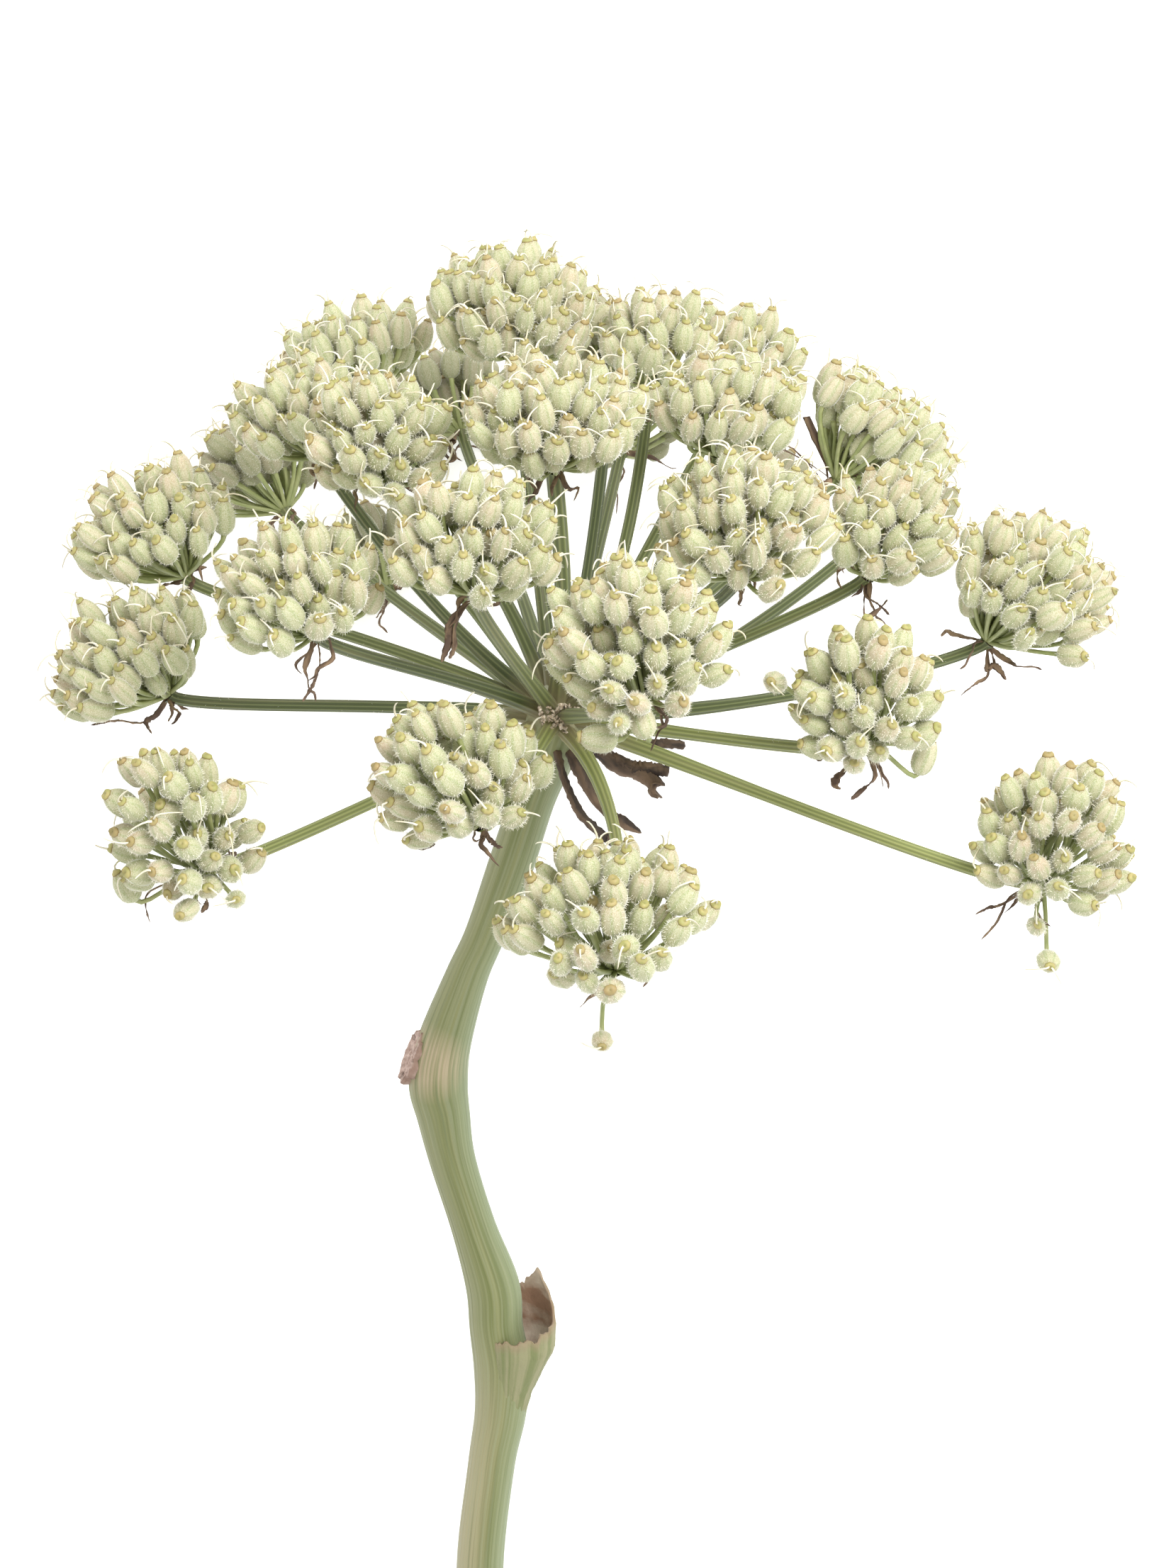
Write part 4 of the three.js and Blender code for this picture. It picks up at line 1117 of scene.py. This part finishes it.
def stem_material():
    """Blue-green in bands, its sides paler as painted reflection of its bloom, tan below and beside the scar,
    beige with scabs at the hub.
    """
    s = Shading("stem_bloom", (0.15, 0.17, 0.052), 0.6, 0.25, (0.85, 0.95, 0.95))
    _, along, rib = s.looks()
    grain = s.attribute("grain")
    aside = s.parts(grain)[1]
    s.coat((0.23, 0.24, 0.10), s.noise(grain, (1.1, 1.1, 0.016), 4), 0.38, 0.62)
    # Painted reflection: the waxy bloom is painted paler at the sides seen from above, bluish on one side and
    # beige on the other.
    s.coat((0.25, 0.30, 0.17), aside, 0.8, 3.8, 0.75)
    s.coat((0.29, 0.29, 0.15), aside, -0.8, -3.8, 0.7)
    s.coat((0.42, 0.36, 0.22), s.times(s.spread(along, 0.3, 0.1, 0.6), s.spread(aside, 1.5, -1.5)))
    fine = s.noise(grain, (2.2, 2.2, 0.03), 5)
    s.coat((0.27, 0.29, 0.17), fine, 0.5, 0.7, 0.5)
    s.coat((0.11, 0.13, 0.045), fine, 0.48, 0.3, 0.5)
    s.coat((0.24, 0.27, 0.15), rib, 0.5, 1, 0.3)
    patch = tuple((HUB + SCAR_AT + SCAR_BESIDE) * METRES)
    beside = s.spread(s.distance(s.attribute("position"), patch), 0.0075, 0.003, 0.9)
    s.coat((0.46, 0.37, 0.24), s.times(beside, s.spread(fine, 0.36, 0.56)))
    s.coat((0.48, 0.42, 0.27), along, 0.94, 0.985)
    scabs = s.spread(s.noise(grain, 0.7, 5), 0.52, 0.6)
    s.coat((0.10, 0.05, 0.03), s.times(scabs, s.spread(along, 0.95, 0.99)))
    s.bump(s.noise(grain, (2.7, 2.7, 0.06)), 0.25, 0.6)
    return s.finish()


def scar_material():
    """Dry pinkish brown, darker at its rim."""
    s = Shading("scar_pink", (0.66, 0.50, 0.43), 0.85)
    grain = s.attribute("grain")
    s.coat((0.40, 0.27, 0.22), s.noise(grain, 0.9, 5), 0.38, 0.62)
    s.coat((0.30, 0.19, 0.14), s.looks()[1], 0.9, 1.04)
    s.bump(s.noise(grain, 1.6, 5), 0.3)
    return s.finish()


def sheath_material():
    """Green outside, beige and brown inside, torn and brown at the rim."""
    s = Shading("sheath_torn", (0.18, 0.20, 0.08), 0.75)
    _, rim, inside = s.looks()
    grain = s.attribute("grain")
    s.coat((0.28, 0.27, 0.145), s.noise(grain, (2.2, 2.2, 0.03), 5), 0.38, 0.62)
    patches = s.spread(s.noise(grain, 0.22, 4), 0.42, 0.6)
    s.coat(s.mix(patches, (0.66, 0.55, 0.44), (0.34, 0.20, 0.13)), inside)
    s.coat((0.30, 0.20, 0.13), rim, 0.92, 1, 0.6)
    s.bump(s.noise(grain, (1.4, 1.4, 0.42), 4), 0.3)
    return s.finish()


def withered_material(name, light, dark, scale):
    """Dry brown with lighter streaks and a lighter foot."""
    s = Shading(name, dark, 0.75)
    streaks = s.noise(s.attribute("grain"), (scale, scale, scale * 0.3), 4)
    s.coat(light, streaks, 0.42, 0.64)
    s.coat(light, s.looks()[1], 0.15, 0, 0.6)
    s.bump(streaks, 0.25)
    return s.finish()


def make_materials():
    return {
        "fruit": fruit_material("fruit_fuzz", 1.0, 0.0),
        "shaded fruit": fruit_material("fruit_fuzz_shaded", 0.6, 0.4),
        "cap": cap_material(),
        "hair": plain_material("fruit_hairs", (0.93, 0.90, 0.79), (0.83, 0.79, 0.65), 0.9, 0.3, 0.3),
        "style": plain_material("fruit_styles", (0.86, 0.82, 0.67), (0.74, 0.67, 0.46), 0.6, 0.6),
        "pedicel": plain_material("pedicel_green", (0.30, 0.34, 0.13), (0.40, 0.42, 0.19), 0.5, 0.4),
        "ray": ray_material(),
        "stem": stem_material(),
        "pith": plain_material("stem_pith", (0.62, 0.62, 0.48), (0.50, 0.50, 0.36), 0.8, 0.5),
        "brown": withered_material("withered_brown", (0.30, 0.20, 0.12), (0.10, 0.06, 0.04), 0.8),
        "bract": withered_material("bract_brown", (0.20, 0.13, 0.08), (0.045, 0.03, 0.022), 0.6),
        "crumb": withered_material("hub_crumbs", (0.92, 0.81, 0.66), (0.52, 0.40, 0.28), 1.2),
        "scar": scar_material(),
        "sheath": sheath_material(),
    }


def add_to_scene(name, data):
    thing = bpy.data.objects.new(name, data)
    bpy.context.scene.collection.objects.link(thing)
    return thing


def make_camera():
    data = bpy.data.cameras.new("camera")
    data.sensor_width = SENSOR
    data.lens = SENSOR * CAMERA_ABOVE_HUB / FRAME_HEIGHT
    data.clip_start = 0.01
    camera = add_to_scene("camera", data)
    camera.location = (HUB + [*CAMERA_FROM_HUB, CAMERA_ABOVE_HUB]) * METRES
    bpy.context.scene.camera = camera


def make_floor():
    """A white floor that glows a little."""
    mesh = bpy.data.meshes.new("floor")
    half = FLOOR_HALF_WIDTH * METRES
    corners = [(-half, -half, 0), (half, -half, 0), (half, half, 0), (-half, half, 0)]
    mesh.from_pydata(corners, [], [(0, 1, 2, 3)])
    floor = add_to_scene("floor", mesh)
    s = Shading("floor_white", (0.9, 0.9, 0.9), 0.9)
    s.link((1, 1, 1), s.shader.inputs["Emission Color"])
    s.link(FLOOR_GLOW, s.shader.inputs["Emission Strength"])
    mesh.materials.append(s.finish())


def make_light():
    """A white sky, and a key light from the upper right."""
    world = bpy.data.worlds.new("sky")
    world.use_nodes = True
    sky = world.node_tree.nodes["Background"]
    sky.inputs["Color"].default_value = (1, 1, 1, 1)
    sky.inputs["Strength"].default_value = SKY
    bpy.context.scene.world = world
    data = bpy.data.lights.new("key", "AREA")
    data.shape = "DISK"
    data.size = KEY_WIDTH * METRES
    data.energy = KEY_POWER
    light = add_to_scene("key", data)
    light.location = np.array(KEY_AT) * METRES
    light.rotation_euler = light.location.to_track_quat("Z", "Y").to_euler()
    bpy.context.scene.view_settings.view_transform = "Standard"


def build():
    umbellets = [Umbellet(i + 1, row) for i, row in enumerate(UMBELLETS)]
    Piece.materials = make_materials()
    necks, axes, outs, scales, owners = all_fruits(umbellets)
    rods = np.vstack([umbellet.ray(ROD_STEPS, ROD_END) for umbellet in umbellets])
    necks = jostle(necks, axes, scales, rods)
    for umbellet in umbellets:
        mine = owners == umbellet.number
        make_umbellet(umbellet, necks[mine], axes[mine], outs[mine], scales[mine])
        make_withered(umbellet)
    make_rays(umbellets)
    make_stem()
    make_leaf_scar()
    make_sheath()
    make_bracts()


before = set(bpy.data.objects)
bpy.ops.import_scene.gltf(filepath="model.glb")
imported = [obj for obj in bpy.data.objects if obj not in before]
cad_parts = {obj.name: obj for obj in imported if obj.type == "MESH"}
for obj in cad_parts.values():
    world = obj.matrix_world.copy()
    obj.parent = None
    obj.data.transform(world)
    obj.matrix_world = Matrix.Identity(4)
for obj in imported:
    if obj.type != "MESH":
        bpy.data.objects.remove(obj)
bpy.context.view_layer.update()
make_camera()
make_floor()
make_light()
build()
